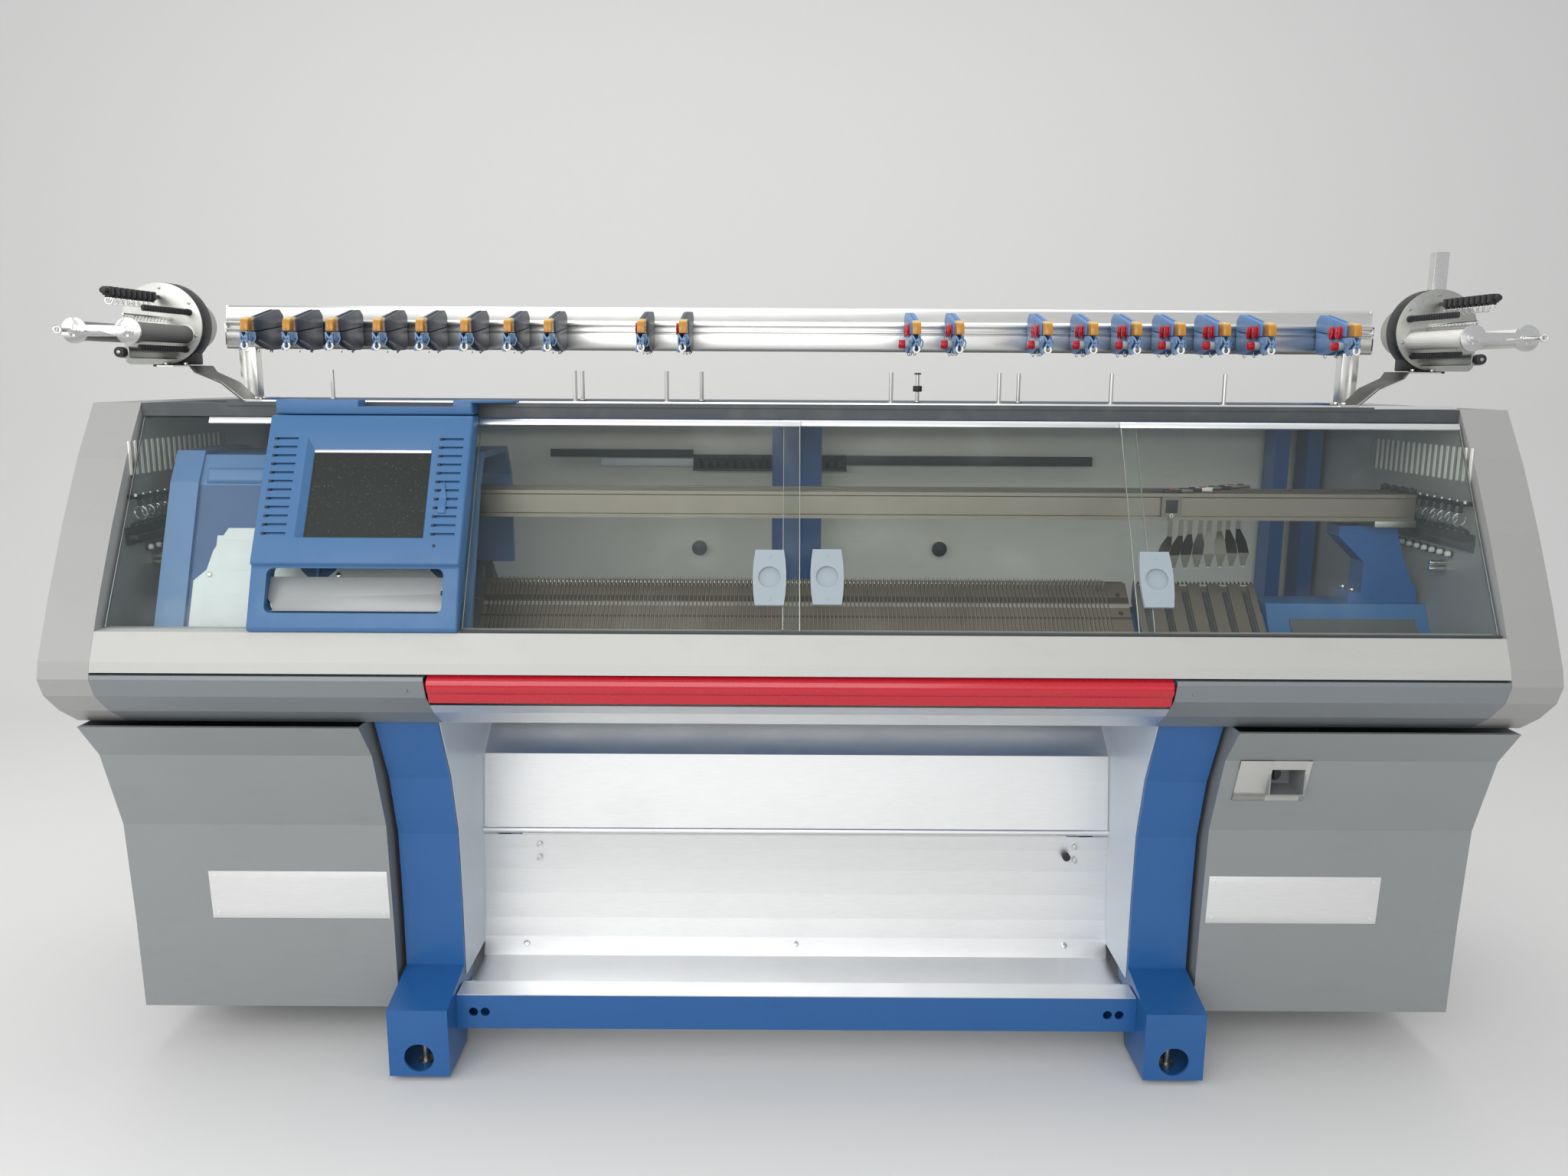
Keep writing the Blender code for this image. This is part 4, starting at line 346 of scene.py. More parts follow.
FINISHES = {
    "silver": lambda: paint("silver_paint", "set_silver", 0.4, 1300, 0.4, 0.1),
    "cabinet": lambda: paint("cabinet_paint", "set_cabinet", 0.42, 1300, 0.4, 0.15),
    "sill": lambda: paint("sill_paint", "set_sill", 0.4, 1300, 0.3, 0.08),
    "fascia": lambda: paint("fascia_paint", "set_fascia", 0.36, 1300, 0.3, 0.2),
    "liner": lambda: paint("liner_paint", "cdd7e0", 0.36, 1100, 0.2),
    "rear_wall": lambda: paint("rear_wall_paint", "f6f0e0", 0.5, 900, 0.15, 0.0, 0.2),
    "leg_blue": lambda: paint("leg_blue", "set_frame_blue", 0.34, 600, 0.55, 0.0, 0.15, 0.1),
    "casting": casting_blue,
    "bed": bed_metal,
    "panel_blue": lambda: plastic("panel_blue", "set_panel_blue", 0.42, 0.3, 1100, 0.1),
    "carriage_blue": lambda: plastic("carriage_blue", "set_carriage_blue", 0.36, 0.1),
    # A darker copy of the carriage blue, used as painted shade on the cover's face.
    "carriage_painted_shade": lambda: plastic("carriage_painted_shade", "385a86", 0.4, 0.1),
    "cream": lambda: plastic("cream_plastic", "dfe3e2", 0.4, 0.05),
    "red": lambda: paint("bar_red", "set_bar_red", 0.26, 500, 0.08, 0.0, 0.05, 0.4),
    "brushed": lambda: metal("brushed_aluminium", "f3f4f3", 0.4, (0.6, 60, 60), 50, 0.06, 0.06),
    "tray": lambda: paint("tray_sheet", "8d9090", 0.34, 900, 0.1, 0.3, 0.3),
    "beam": lambda: metal("beam_aluminium", "e6e6e2", 0.32, (0.4, 70, 70), 60, 0.08, 0.08),
    "rail_metal": lambda: metal("rail_steel", "9c9488", 0.34, (0.4, 80, 80), 60, 0.1, 0.35),
    "blade": lambda: metal("blade_steel", "8a857c", 0.3, (40, 40, 2), 60, 0.1, 0.4),
    "needle": lambda: metal("needle_steel", "a0978a", 0.34, (3, 3, 3), 12, 0.02, 0.4),
    "bright": lambda: metal("bright_steel", "dcdcda", 0.18, (20, 20, 20), 20, 0.03, 0.1),
    "zinc": lambda: metal("zinc_plate", "b9bab4", 0.38, (8, 8, 8), 18, 0.05, 0.4),
    "glass": window_glass,
    "screen": screen_glass,
    "deck": deck_finish,
    "handle": lambda: plastic("handle_plastic", "98a3aa", 0.36, 0.05),
    "black": lambda: plastic("black_plastic", "1d1e20", 0.45, 0.12),
    # A darker copy of the units' blue, used as painted shade on the left units.
    "navy": lambda: plastic("unit_blue_painted_shade", "333b49", 0.42, 0.1),
    "arm_grey": lambda: metal("arm_sheet", "4a4742", 0.4, (12, 12, 12), 9, 0.05, 0.5),
    "unit_blue": lambda: plastic("unit_blue", "557fb0", 0.4, 0.1),
    "arm_blue": lambda: plastic("arm_blue", "6d8cb0", 0.36, 0.05),
    # Amber with a painted highlight on its top and face and painted shade on its cheeks.
    "amber": amber_lens_painted_light,
    "lens_red": lambda: plastic("red_disc", "b8202e", 0.28, 0.03),
    "white": lambda: plastic("white_ceramic", "eceae4", 0.22, 0.02),
    "grey_roll": lambda: plastic("grey_sleeve", "6f6f6c", 0.5, 0.2, 700),
    "rubber": lambda: plastic("black_rubber", "26272a", 0.6, 0.3, 500),
    "sponge": lambda: plastic("grey_sponge", "5d5f60", 0.8, 0.7, 350, 0.25),
    "dark_grey": lambda: paint("dark_grey_paint", "3b3d3f", 0.5, 900, 0.2),
    "wire": lambda: plastic("pale_wire", "cfc38a", 0.4, 0.02),
}
made_finishes = {}


def finish_of(key):
    if key not in made_finishes:
        made_finishes[key] = FINISHES[key]().material
    return made_finishes[key]


# modelling

def fresh():
    """Leave edit mode and select nothing."""
    active = bpy.context.view_layer.objects.active
    if active and active.mode != "OBJECT":
        bpy.ops.object.mode_set(mode="OBJECT")
    bpy.ops.object.select_all(action="DESELECT")


def pick(obj):
    fresh()
    obj.select_set(True)
    bpy.context.view_layer.objects.active = obj
    return obj


def settle(obj, name=None):
    """Move the object's place, turn and size into its mesh."""
    pick(obj)
    bpy.ops.object.transform_apply(location=True, rotation=True, scale=True)
    if name:
        obj.name = obj.data.name = name
    return obj


def applied(obj, kind, **settings):
    """Add a modifier with its settings and apply it."""
    pick(obj)
    modifier = obj.modifiers.new(kind.lower(), kind)
    for key, value in settings.items():
        setattr(modifier, key, value)
    bpy.ops.object.modifier_apply(modifier=modifier.name)
    return obj


def rounded(obj, width, segments=2, angle=35):
    return applied(obj, "BEVEL", width=width, segments=segments, limit_method="ANGLE",
                   angle_limit=math.radians(angle), harden_normals=False)


def smooth(obj, angle=35):
    pick(obj)
    bpy.ops.object.shade_smooth_by_angle(angle=math.radians(angle))
    return obj


def block(name, low, high, round_by=0.0, segments=2):
    low, high = Vector(low), Vector(high)
    fresh()
    bpy.ops.mesh.primitive_cube_add(size=1, location=(low + high) / 2)
    obj = bpy.context.object
    obj.scale = high - low
    settle(obj, name)
    return rounded(obj, round_by, segments) if round_by else obj


def rod(name, start, end, radius, sides=20, end_radius=None, round_by=0.0):
    start, end = Vector(start), Vector(end)
    fresh()
    bpy.ops.mesh.primitive_cone_add(vertices=sides, radius1=radius,
                                    radius2=radius if end_radius is None else end_radius,
                                    depth=(end - start).length, location=(start + end) / 2)
    obj = bpy.context.object
    obj.rotation_mode = "QUATERNION"
    obj.rotation_quaternion = Vector((0, 0, 1)).rotation_difference((end - start).normalized())
    settle(obj, name)
    return rounded(obj, round_by, 2, 50) if round_by else obj


def hoop(name, centre, axis, major, minor, around=28, across=8):
    fresh()
    bpy.ops.mesh.primitive_torus_add(major_radius=major, minor_radius=minor, major_segments=around,
                                     minor_segments=across, location=centre)
    obj = bpy.context.object
    obj.rotation_mode = "QUATERNION"
    obj.rotation_quaternion = Vector((0, 0, 1)).rotation_difference(Vector(axis).normalized())
    return settle(obj, name)


PLANES = {
    "yz": Matrix(((0, 0, 1), (1, 0, 0), (0, 1, 0))).to_4x4(),
    "xz": Matrix(((1, 0, 0), (0, 0, -1), (0, 1, 0))).to_4x4(),
    "xy": Matrix.Identity(4),
}


def profile(name, outline, start, end, plane="yz", place=None, round_by=0.0, segments=2):
    """A flat outline drawn out across its plane; with xz, start and end are read along +Y."""
    low, high = (-end, -start) if plane == "xz" else (start, end)
    fresh()
    bpy.ops.mesh.primitive_circle_add(vertices=len(outline), fill_type="NGON")
    obj = bpy.context.object
    for vertex, (a, b) in zip(obj.data.vertices, outline):
        vertex.co = (a, b, low)
    bpy.ops.object.mode_set(mode="EDIT")
    bpy.ops.mesh.select_all(action="SELECT")
    bpy.ops.mesh.extrude_region_move(TRANSFORM_OT_translate={"value": (0, 0, high - low)})
    bpy.ops.mesh.select_all(action="SELECT")
    bpy.ops.mesh.normals_make_consistent(inside=False)
    bpy.ops.object.mode_set(mode="OBJECT")
    turn = PLANES[plane]
    obj.matrix_world = turn if place is None else place @ turn
    settle(obj, name)
    return rounded(obj, round_by, segments) if round_by else obj


def tube(name, points, radius, sides=8, closed=False):
    """A round wire through points."""
    fresh()
    curve = bpy.data.curves.new(name, "CURVE")
    curve.dimensions = "3D"
    curve.bevel_depth = radius
    curve.bevel_resolution = max(0, sides // 2 - 2)
    curve.use_fill_caps = True
    curve.resolution_u = 5
    spline = curve.splines.new("BEZIER" if len(points) > 2 else "POLY")
    if spline.type == "BEZIER":
        spline.bezier_points.add(len(points) - 1)
        for at, point in zip(spline.bezier_points, points):
            at.co = point
            at.handle_left_type = at.handle_right_type = "AUTO"
    else:
        spline.points.add(len(points) - 1)
        for at, point in zip(spline.points, points):
            at.co = (*point, 1)
    spline.use_cyclic_u = closed
    obj = bpy.data.objects.new(name, curve)
    bpy.context.collection.objects.link(obj)
    pick(obj)
    bpy.ops.object.convert(target="MESH")
    return smooth(settle(bpy.context.object, name))


def carve(obj, *cutters, operation="DIFFERENCE"):
    """Cut shapes out of a piece, or with INTERSECT keep only what it shares with them."""
    for cutter in cutters:
        applied(obj, "BOOLEAN", operation=operation, object=cutter, solver="EXACT")
        bpy.data.objects.remove(cutter, do_unlink=True)
    return obj


def merged(name, pieces):
    """Join pieces into one object."""
    pick(pieces[0])
    for piece in pieces:
        piece.select_set(True)
    if len(pieces) > 1:
        bpy.ops.object.join()
    obj = bpy.context.view_layer.objects.active
    obj.name = obj.data.name = name
    return obj


def copied(obj, moves):
    """Copies of a piece, each with its own mesh, moved by vectors or matrices; the pattern itself goes."""
    made = []
    for move in moves:
        pick(obj)
        bpy.ops.object.duplicate()
        copy = bpy.context.object
        copy.matrix_world = move if isinstance(move, Matrix) else Matrix.Translation(move)
        made.append(settle(copy))
    bpy.data.objects.remove(obj, do_unlink=True)
    return made


def in_a_row(obj, count, step):
    return applied(obj, "ARRAY", count=count, use_relative_offset=False, use_constant_offset=True,
                   constant_offset_displace=step)


def dress(obj, finish, body="machine", nodes=(), soft=35):
    """Give a piece its material and the body that it rides on, and hide the solids that it stands for."""
    obj.data.materials.clear()
    obj.data.materials.append(finish_of(finish))
    if soft:
        smooth(obj, soft)
    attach(obj, body)
    if nodes:
        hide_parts(*nodes)
    return obj


def glass_y(height):
    """How far back the windows' plane stands at a height."""
    return GLASS_FOOT[0] + (height - GLASS_FOOT[1]) * math.tan(WINDOW_LEAN)


def leaning(y, height, lean):
    """A plane leaning back from a line along the machine: x along, y up the slope, z out to the operator."""
    return Matrix.Translation((0, y, height)) @ Matrix.Rotation(math.radians(90) - lean, 4, "X")


def lean_frame(height, stand=0.0):
    """The windows' leaning plane at a height: x along, y up the slope, z out towards the operator."""
    return leaning(glass_y(height) - stand, height, WINDOW_LEAN)


def slope_frame():
    """The front bed's face from the top of its comb: x along, y up the slope to the gap, z out of it."""
    half = math.sqrt(0.5)
    turn = Matrix(((1, 0, 0), (0, half, -half), (0, half, half)))
    return Matrix.Translation((0, GAP_PLANE - BED_GAP, BED_TOP)) @ turn.to_4x4()


def round_outline(width, height, radius, steps=5):
    """A rectangle with round corners about the origin."""
    points = []
    for cx, cy, start in ((1, -1, -90), (1, 1, 0), (-1, 1, 90), (-1, -1, 180)):
        for i in range(steps + 1):
            turn = math.radians(start + 90 * i / steps)
            points.append((cx * (width / 2 - radius) + radius * math.cos(turn),
                           cy * (height / 2 - radius) + radius * math.sin(turn)))
    return points


def oblong(x0, y0, x1, y1):
    return [(x0, y0), (x1, y0), (x1, y1), (x0, y1)]


def moved(points, x, y):
    return [(a + x, b + y) for a, b in points]


def steps_back(start, step, count):
    """Moves in even steps away from the operator."""
    return [Vector((0, start + step * i, 0)) for i in range(count)]


# yarn gear over the machine

def yarn_beam():
    """The extruded beam with its bright upper face, slots and end plates, on its two posts."""
    back, front, low, high, half = 0.12, 0.09, 1.455, 1.547, 1.24
    section = [(back, low), (back, high), (back - 0.012, high), (back - 0.014, high - 0.003),
               (0.104, high - 0.004), (0.1015, 1.52), (0.0975, 1.515), (front, 1.513), (front, 1.5075),
               (front + 0.005, 1.5065), (front + 0.005, 1.4985), (front, 1.4975), (front, 1.494),
               (front + 0.003, 1.493), (front + 0.003, 1.4905), (front, 1.4895), (front, 1.463),
               (front + 0.002, low)]
    cap = [(back, low), (back, high), (0.105, high), (0.1, 1.514), (front, 1.512), (front, low)]
    parts = [profile("beam", section, -half, half, round_by=0.0006)]
    for side in WORDS:
        end, x = side * (half - 0.0015), side * 1.195
        parts.append(profile("cap", cap, end - 0.0015, end + 0.0015))
        post = block("post", (x - 0.018, 0.0905, 1.3455), (x + 0.018, 0.1195, 1.458), 0.0015)
        parts.append(carve(post, block("slot", (x - 0.005, 0.08, 1.35), (x + 0.005, 0.097, 1.45))))
        parts.append(block("foot", (x - 0.024, 0.089, 1.3455), (x + 0.024, 0.12, 1.3495), 0.001))
    dress(merged("yarn_beam_rail", parts), "beam", nodes=("yarn_beam",))


def unit_body():
    """One control unit at the beam's middle: the wedge-shaped lid over its narrower lower case."""
    lid = [(-0.052, 1.4865), (-0.0515, 1.5125), (-0.04, 1.5155), (0.052, 1.535), (0.073, 1.5372),
           (0.0885, 1.526), (0.0885, 1.503)]
    case = [(-0.05, 1.4858), (-0.036, 1.468), (-0.005, 1.4585), (0.03, 1.4515), (0.072, 1.4535),
            (0.0885, 1.466), (0.0885, 1.5025)]
    lever = [(-0.052, 1.4715), (-0.04, 1.4705), (0.0, 1.4625), (0.03, 1.4535), (0.02, 1.449),
             (-0.012, 1.4555), (-0.045, 1.464)]
    ridge = [(-0.03, 1.5175), (0.05, 1.5345), (0.05, 1.5365), (-0.03, 1.5195)]
    return merged("unit_body", [
        profile("lid", lid, -0.0098, 0.0098, round_by=0.0025, segments=3),
        profile("case", case, -0.0085, 0.0085, round_by=0.002),
        profile("lever", lever, 0.0085, 0.0108, round_by=0.0008),
        block("clip", (-0.007, 0.0885, 1.4985), (0.007, 0.0935, 1.5045), 0.001),
        profile("ridge", ridge, -0.0012, 0.0012, round_by=0.0005)])


def unit_lens():
    """The faceted signal lens at the unit's front: a face with a lid and a chamfered cheek, lit and shaded by
    the painted light of its amber finish.
    """
    lens = profile("lens", [(-0.0878, 1.4868), (-0.0855, 1.5035), (-0.0795, 1.5125), (-0.0525, 1.5162),
                            (-0.0525, 1.4862)], -0.0078, 0.0082, round_by=0.0022, segments=2)
    rib = profile("rib", [(-0.0885, 1.489), (-0.0865, 1.5035), (-0.083, 1.5035), (-0.084, 1.489)],
                  -0.0008, 0.0008, round_by=0.0003)
    return merged("unit_lens", [lens, rib])


def unit_arm():
    """The pale levers under the lens: a forked plate, its pivot and the arms that carry the ring."""
    plate = [(-0.083, 1.4858), (-0.0838, 1.472), (-0.071, 1.462), (-0.078, 1.4512), (-0.068, 1.4485),
             (-0.052, 1.46), (-0.046, 1.4858)]
    fork = [(-0.0805, 1.4858), (-0.0795, 1.469), (-0.064, 1.4655), (-0.05, 1.4745), (-0.05, 1.4858)]
    parts = [profile("plate", plate, -0.0105, -0.0075, round_by=0.001),
             profile("fork", fork, 0.0042, 0.0085, round_by=0.001)]
    parts += [profile("strut", outline, -0.0862, -0.0822, plane="xz", round_by=0.0008) for outline in (
        [(-0.0105, 1.4845), (-0.0065, 1.4845), (0.0065, 1.4625), (0.0025, 1.461)],
        [(0.0085, 1.4845), (0.0045, 1.4845), (-0.0105, 1.4585), (-0.0068, 1.4565)],
        [(-0.0115, 1.4585), (-0.013, 1.4505), (-0.0085, 1.4485), (-0.0062, 1.4575)],
        [(0.0028, 1.4635), (0.0062, 1.4635), (0.0062, 1.4845), (0.0028, 1.4845)])]
    parts.append(rod("pivot", (-0.0122, -0.062, 1.475), (0.0108, -0.062, 1.475), 0.0042, 14, round_by=0.0008))
    path = [(0.0095, -0.06, 1.479), (0.0135, -0.066, 1.4745), (0.013, -0.072, 1.466), (0.009, -0.074, 1.4605),
            (0.0065, -0.07, 1.465)]
    parts.append(tube("finger", path, 0.0014, 6))
    return merged("unit_arm", parts)


def unit_ring():
    """The pale thread ring under a unit's levers."""
    path = [(-0.0052, -0.0868, 1.4625), (-0.0062, -0.0872, 1.4555), (-0.0008, -0.0872, 1.4508),
            (0.0052, -0.0872, 1.4555), (0.0042, -0.0868, 1.4628)]
    return tube("unit_ring", path, 0.002, 8)


def unit_hooks():
    """The thin wires that hang under a unit's case."""
    radius = bpy.context.scene.machine_sizes.wire / 2
    hooks = [tube("hook", [(x, y, 1.4565), (x, y, low + 0.002), (x + 0.002, y - 0.003, low),
                           (x + 0.0035, y - 0.005, low + 0.003)], radius, 6)
             for x, y, low in ((-0.006, -0.01, 1.4463), (0.005, 0.02, 1.447), (-0.004, 0.05, 1.4465))]
    return merged("unit_hooks", hooks)


def unit_discs():
    """The two oval tension discs on a unit's left cheek, on their pins."""
    discs, z = [], 1.4965
    for y in (-0.029, 0.004):
        for x, radius in ((-0.0112, 0.0142), (-0.0152, 0.0142 * 0.92)):
            disc = rod("disc", (x - 0.0011, y, z), (x + 0.0011, y, z), radius, 22, round_by=0.0009)
            middle = Matrix.Translation((0, y, 0))
            disc.matrix_world = middle @ Matrix.Diagonal((1, 0.86, 1, 1)) @ middle.inverted()
            discs.append(settle(disc))
        discs.append(rod("pin", (-0.0185, y, z), (-0.0095, y, z), 0.0028, 10, round_by=0.0006))
        discs.append(block("bar", (-0.0178, y - 0.0014, 1.485), (-0.0162, y + 0.0014, 1.508), 0.0005))
    return merged("unit_discs", discs)


def unit_knob():
    knob = rod("knob", (-0.033, -0.042, 1.4685), (-0.0185, -0.042, 1.4685), 0.0078, 18, 0.007, round_by=0.001)
    rib = block("rib", (-0.0325, -0.0005, 0.0068), (-0.0195, 0.0005, 0.0086), 0.0002)
    ribs = copied(rib, [Matrix.Translation((0, -0.042, 1.4685)) @ Matrix.Rotation(i * math.pi / 6, 4, "X")
                        for i in range(12)])
    return merged("unit_knob", [knob, *ribs])


def unit_collar():
    return rod("unit_collar", (-0.0195, -0.042, 1.4685), (-0.0085, -0.042, 1.4685), 0.0086, 18,
               round_by=0.001)


def along_beam(piece, places, name, finish, soft=30):
    """Copy a piece of one unit to the places of a family and dress the row."""
    row = copied(piece, [Vector((x, 0, 0)) for x in places])
    dress(merged(name, row), finish, soft=soft)


def control_units():
    """Nineteen units: the left ones in a darker copy of the units' blue that paints the shade they stand in,
    and the blue ones at the right.
    """
    dark, blue = UNIT_PLACES[:DARK_UNITS], UNIT_PLACES[DARK_UNITS:]
    # The left units take a darker copy of the units' blue as painted shade.
    along_beam(unit_body(), dark, "unit_cases_in_painted_shade", "navy")
    along_beam(unit_body(), blue, "blue_unit_cases", "unit_blue")
    along_beam(unit_lens(), UNIT_PLACES, "unit_lenses", "amber")
    along_beam(unit_arm(), UNIT_PLACES, "unit_arms", "arm_blue")
    along_beam(unit_ring(), UNIT_PLACES, "unit_rings", "white", 60)
    along_beam(unit_hooks(), UNIT_PLACES, "unit_hooks", "bright", 60)
    along_beam(unit_discs(), UNIT_PLACES, "tension_discs", "lens_red")
    along_beam(unit_knob(), blue, "unit_knobs", "lens_red")
    along_beam(unit_collar(), blue, "unit_collars", "handle")


def feeder_piece(side, name, pieces, finish, nodes=()):
    """Join pieces of one feeder, give them its finish and hide the solids that they stand for."""
    dress(merged(f"{name}_{WORDS[side]}", pieces), finish, nodes=nodes)


def feeder_drum(side):
    """The black housing behind the face plate, with cooling ribs round it."""
    x, y, z = side * DRUM.x, DRUM.y, DRUM.z
    rim = rod("rim", (x, y + 0.0015, z), (x, y + 0.044, z), DRUM_RADIUS - 0.0005, 64, round_by=0.002)
    flats = block("flats", (x - 0.062, y + 0.004, z - 0.0868), (x + 0.062, y + 0.0435, z - 0.05), 0.003)
    rib = block("rib", (-0.0015, y + 0.006, DRUM_RADIUS - 0.003), (0.0015, y + 0.04, DRUM_RADIUS - 0.0002),
                0.0006)
    count, middle = bpy.context.scene.machine_sizes.drum_ribs, Matrix.Translation((x, 0, z))
    ribs = copied(rib, [middle @ Matrix.Rotation(i * 2 * math.pi / count, 4, "Y") for i in range(count)])
    feeder_piece(side, "drum_rim", [rim, flats, *ribs], "black", (f"feeder_{WORDS[side]}",))


def capsule(reach, radius, steps=12):
    points = []
    for end, start in ((1, -90), (-1, 90)):
        for i in range(steps + 1):
            turn = math.radians(start + 180 * i / steps)
            points.append((end * reach + radius * math.cos(turn), radius * math.sin(turn)))
    return points


def feeder_plate(side):
    """The bright face plate: a disc with one square corner, a raised rim round the rolls and the motor."""
    x, y, z = side * DRUM.x, DRUM.y, DRUM.z
    radius, corner, screw_circle = DRUM_RADIUS - 0.001, 0.014, 0.076
    middle, reach = side * (ROLL_INNER + ROLL_OUTER) / 2, (ROLL_OUTER - ROLL_INNER) / 2
    outline = [(x - side * radius * math.cos(a), z - radius * math.sin(a))
               for a in (math.radians(90 - 5 * i) for i in range(55))]
    outline += [(x + side * (radius - corner + corner * math.cos(a)),
                 z - radius + corner - corner * math.sin(a))
                for a in (math.radians(15 * i) for i in range(7))]
    parts = [profile("plate", outline, y - 0.0022, y + 0.0012, plane="xz", round_by=0.0006)]
    parts.append(profile("rim", moved(capsule(reach - 0.0035, 0.0262), middle, ROLL_HEIGHT),
                         y - 0.0029, y - 0.0015, plane="xz", round_by=0.0004))
    for turn in (35, 90, 145, 200, 250):
        a = math.radians(turn)
        at = Vector((x + side * screw_circle * math.cos(a), y, z + screw_circle * math.sin(a)))
        parts.append(rod("screw", at - Vector((0, 0.004, 0)), at, 0.0034, 12, round_by=0.0006))
    axis = x - side * 0.012
    parts.append(rod("motor", (axis, y + 0.044, z), (axis, y + 0.112, z), 0.055, 40, round_by=0.004))
    parts.append(rod("cap", (axis, y + 0.112, z), (axis, y + 0.1148, z), 0.03, 24, round_by=0.001))
    feeder_piece(side, "feeder_plate", parts, "zinc")


def feeder_link(side):
    """The dog-bone link at the rolls' ends with its washers, axle ends and eyelet."""
    face, z = DRUM.y - 0.228, ROLL_HEIGHT
    inner, outer = side * ROLL_INNER, side * ROLL_OUTER
    radius, waist = 0.026, 0.011
    turn = math.atan2(waist, math.sqrt(radius ** 2 - waist ** 2))
    outline = []
    for middle, start, end in ((max(inner, outer), turn - math.pi, math.pi - turn),
                               (min(inner, outer), turn, 2 * math.pi - turn)):
        for i in range(21):
            a = start + (end - start) * i / 20
            outline.append((middle + radius * math.cos(a), z + radius * math.sin(a)))
    parts = [profile("bone", outline, face, face + 0.004, plane="xz", round_by=0.0007)]
    for x in (inner, outer):
        parts.append(rod("axle", (x, face - 0.003, z), (x, DRUM.y, z), 0.0062, 16, round_by=0.0008))
        parts.append(rod("washer", (x, face - 0.0012, z), (x, face + 0.0008, z), 0.0125, 24, round_by=0.0004))
        parts.append(block("clip", (x - 0.0025, face - 0.0026, z - 0.0145),
                           (x + 0.0025, face + 0.0005, z - 0.0075), 0.0005))
    eye = 1.4835
    parts.append(rod("stem", (outer, face - 0.003, z), (outer, face - 0.05, eye), 0.0042, 14,
                     round_by=0.0006))
    parts.append(hoop("eyelet", (outer, face - 0.054, eye), (0.3 * side, 1, 0), 0.006, 0.0024, 24, 10))
    feeder_piece(side, "feeder_link", parts, "bright")


def feeder_comb(side):
    """The yarn clamps over the rolls: nine black blocks on a rail, each with a bright ring under it."""
    x, z, front, back = side * 1.383, 1.563, DRUM.y - 0.205, DRUM.y - 0.001
    rail = rod("rail", (x, front - 0.004, z), (x, DRUM.y + 0.001, z), 0.0046, 16, round_by=0.0006)
    backs = block("backs", (x - 0.0048, front + 0.006, z - 0.0035), (x + 0.0048, back, z + 0.0035), 0.0008)
    tip = rod("tip", (x, front - 0.007, z), (x, front + 0.004, z), 0.0062, 18, round_by=0.001)
    clamp = merged("clamp", [
        block("body", (x - 0.0088, -0.0072, z - 0.0085), (x + 0.0088, 0.0072, z + 0.0088), 0.0016),
        block("nose", (x - 0.0052, -0.0052, z - 0.0125), (x + 0.0052, 0.0052, z - 0.0075), 0.001)])
    ring = merged("ring", [hoop("loop", (x, 0, z - 0.0185), (0.25 * side, 1, 0), 0.0068, 0.0012, 20, 6),
                           rod("neck", (x, 0, z - 0.014), (x, 0, z - 0.008), 0.0022, 8)])
    steps = steps_back(front + 0.014, 0.0202, 9)
    feeder_piece(side, "yarn_clamps", [*copied(clamp, steps), backs, tip], "black")
    x, z = side * 1.361, 1.513
    strip = block("strip", (x - 0.0014, front + 0.02, z + 0.0005), (x + 0.0014, back, z + 0.0075), 0.0004)
    loop = hoop("loop", (x, 0, z - 0.001), (0, 1, 0), 0.0036, 0.0008, 16, 6)
    loops = copied(loop, steps_back(front + 0.026, 0.0132, 14))
    feeder_piece(side, "clamp_rings", [rail, *copied(ring, steps), strip, *loops], "bright")


def feeder_arm(side):
    """The wide folded sheet that rises from the deck past the beam's post and out under the drum."""
    path = [(1.05, 1.3495), (1.085, 1.3495), (1.165, 1.3815), (1.275, 1.402), (1.297, 1.4155),
            (1.389, 1.4155)]
    plan = [(1.045, -0.188), (1.085, -0.188), (1.31, 0.055), (1.389, 0.085), (1.389, 0.145), (1.297, 0.145),
            (1.085, -0.118), (1.045, -0.118)]
    thick, x, y = 0.0028, side * DRUM.x, DRUM.y
    outline = [(side * a, b + thick) for a, b in path] + [(side * a, b) for a, b in reversed(path)]
    sheet = profile("sheet", outline, -0.2, 0.16, plane="xz")
    shape = profile("shape", [(side * a, b) for a, b in plan], 1.3, 1.6, plane="xy")
    rounded(carve(sheet, shape, operation="INTERSECT"), 0.0006, 1)
    hanger = block("hanger", (x - 0.03, y + 0.004, 1.4155), (x + 0.03, y + 0.042, 1.4275), 0.001)
    feeder_piece(side, "feeder_arm", [sheet, hanger], "arm_grey")
    edge = [(side * a, b, c) for a, b, c in (
        (1.05, -0.1885, 1.351), (1.085, -0.1885, 1.351), (1.165, -0.1025, 1.383), (1.275, 0.0165, 1.4035),
        (1.297, 0.0405, 1.417), (1.345, 0.067, 1.417), (1.389, 0.0845, 1.417))]
    parts = [rod("lip", a, b, 0.0021, 8) for a, b in zip(edge, edge[1:])]
    parts += [rod("bolt", (side * 1.066, at, 1.3522), (side * 1.066, at, 1.3572), 0.005, 6, round_by=0.0004)
              for at in (-0.17, -0.135)]
    parts += [rod("bolt", (side * at, 0.09, 1.4183), (side * at, 0.09, 1.4245), 0.004, 12, round_by=0.0004)
              for at in (1.33, 1.372)]
    feeder_piece(side, "arm_edges", parts, "bright")


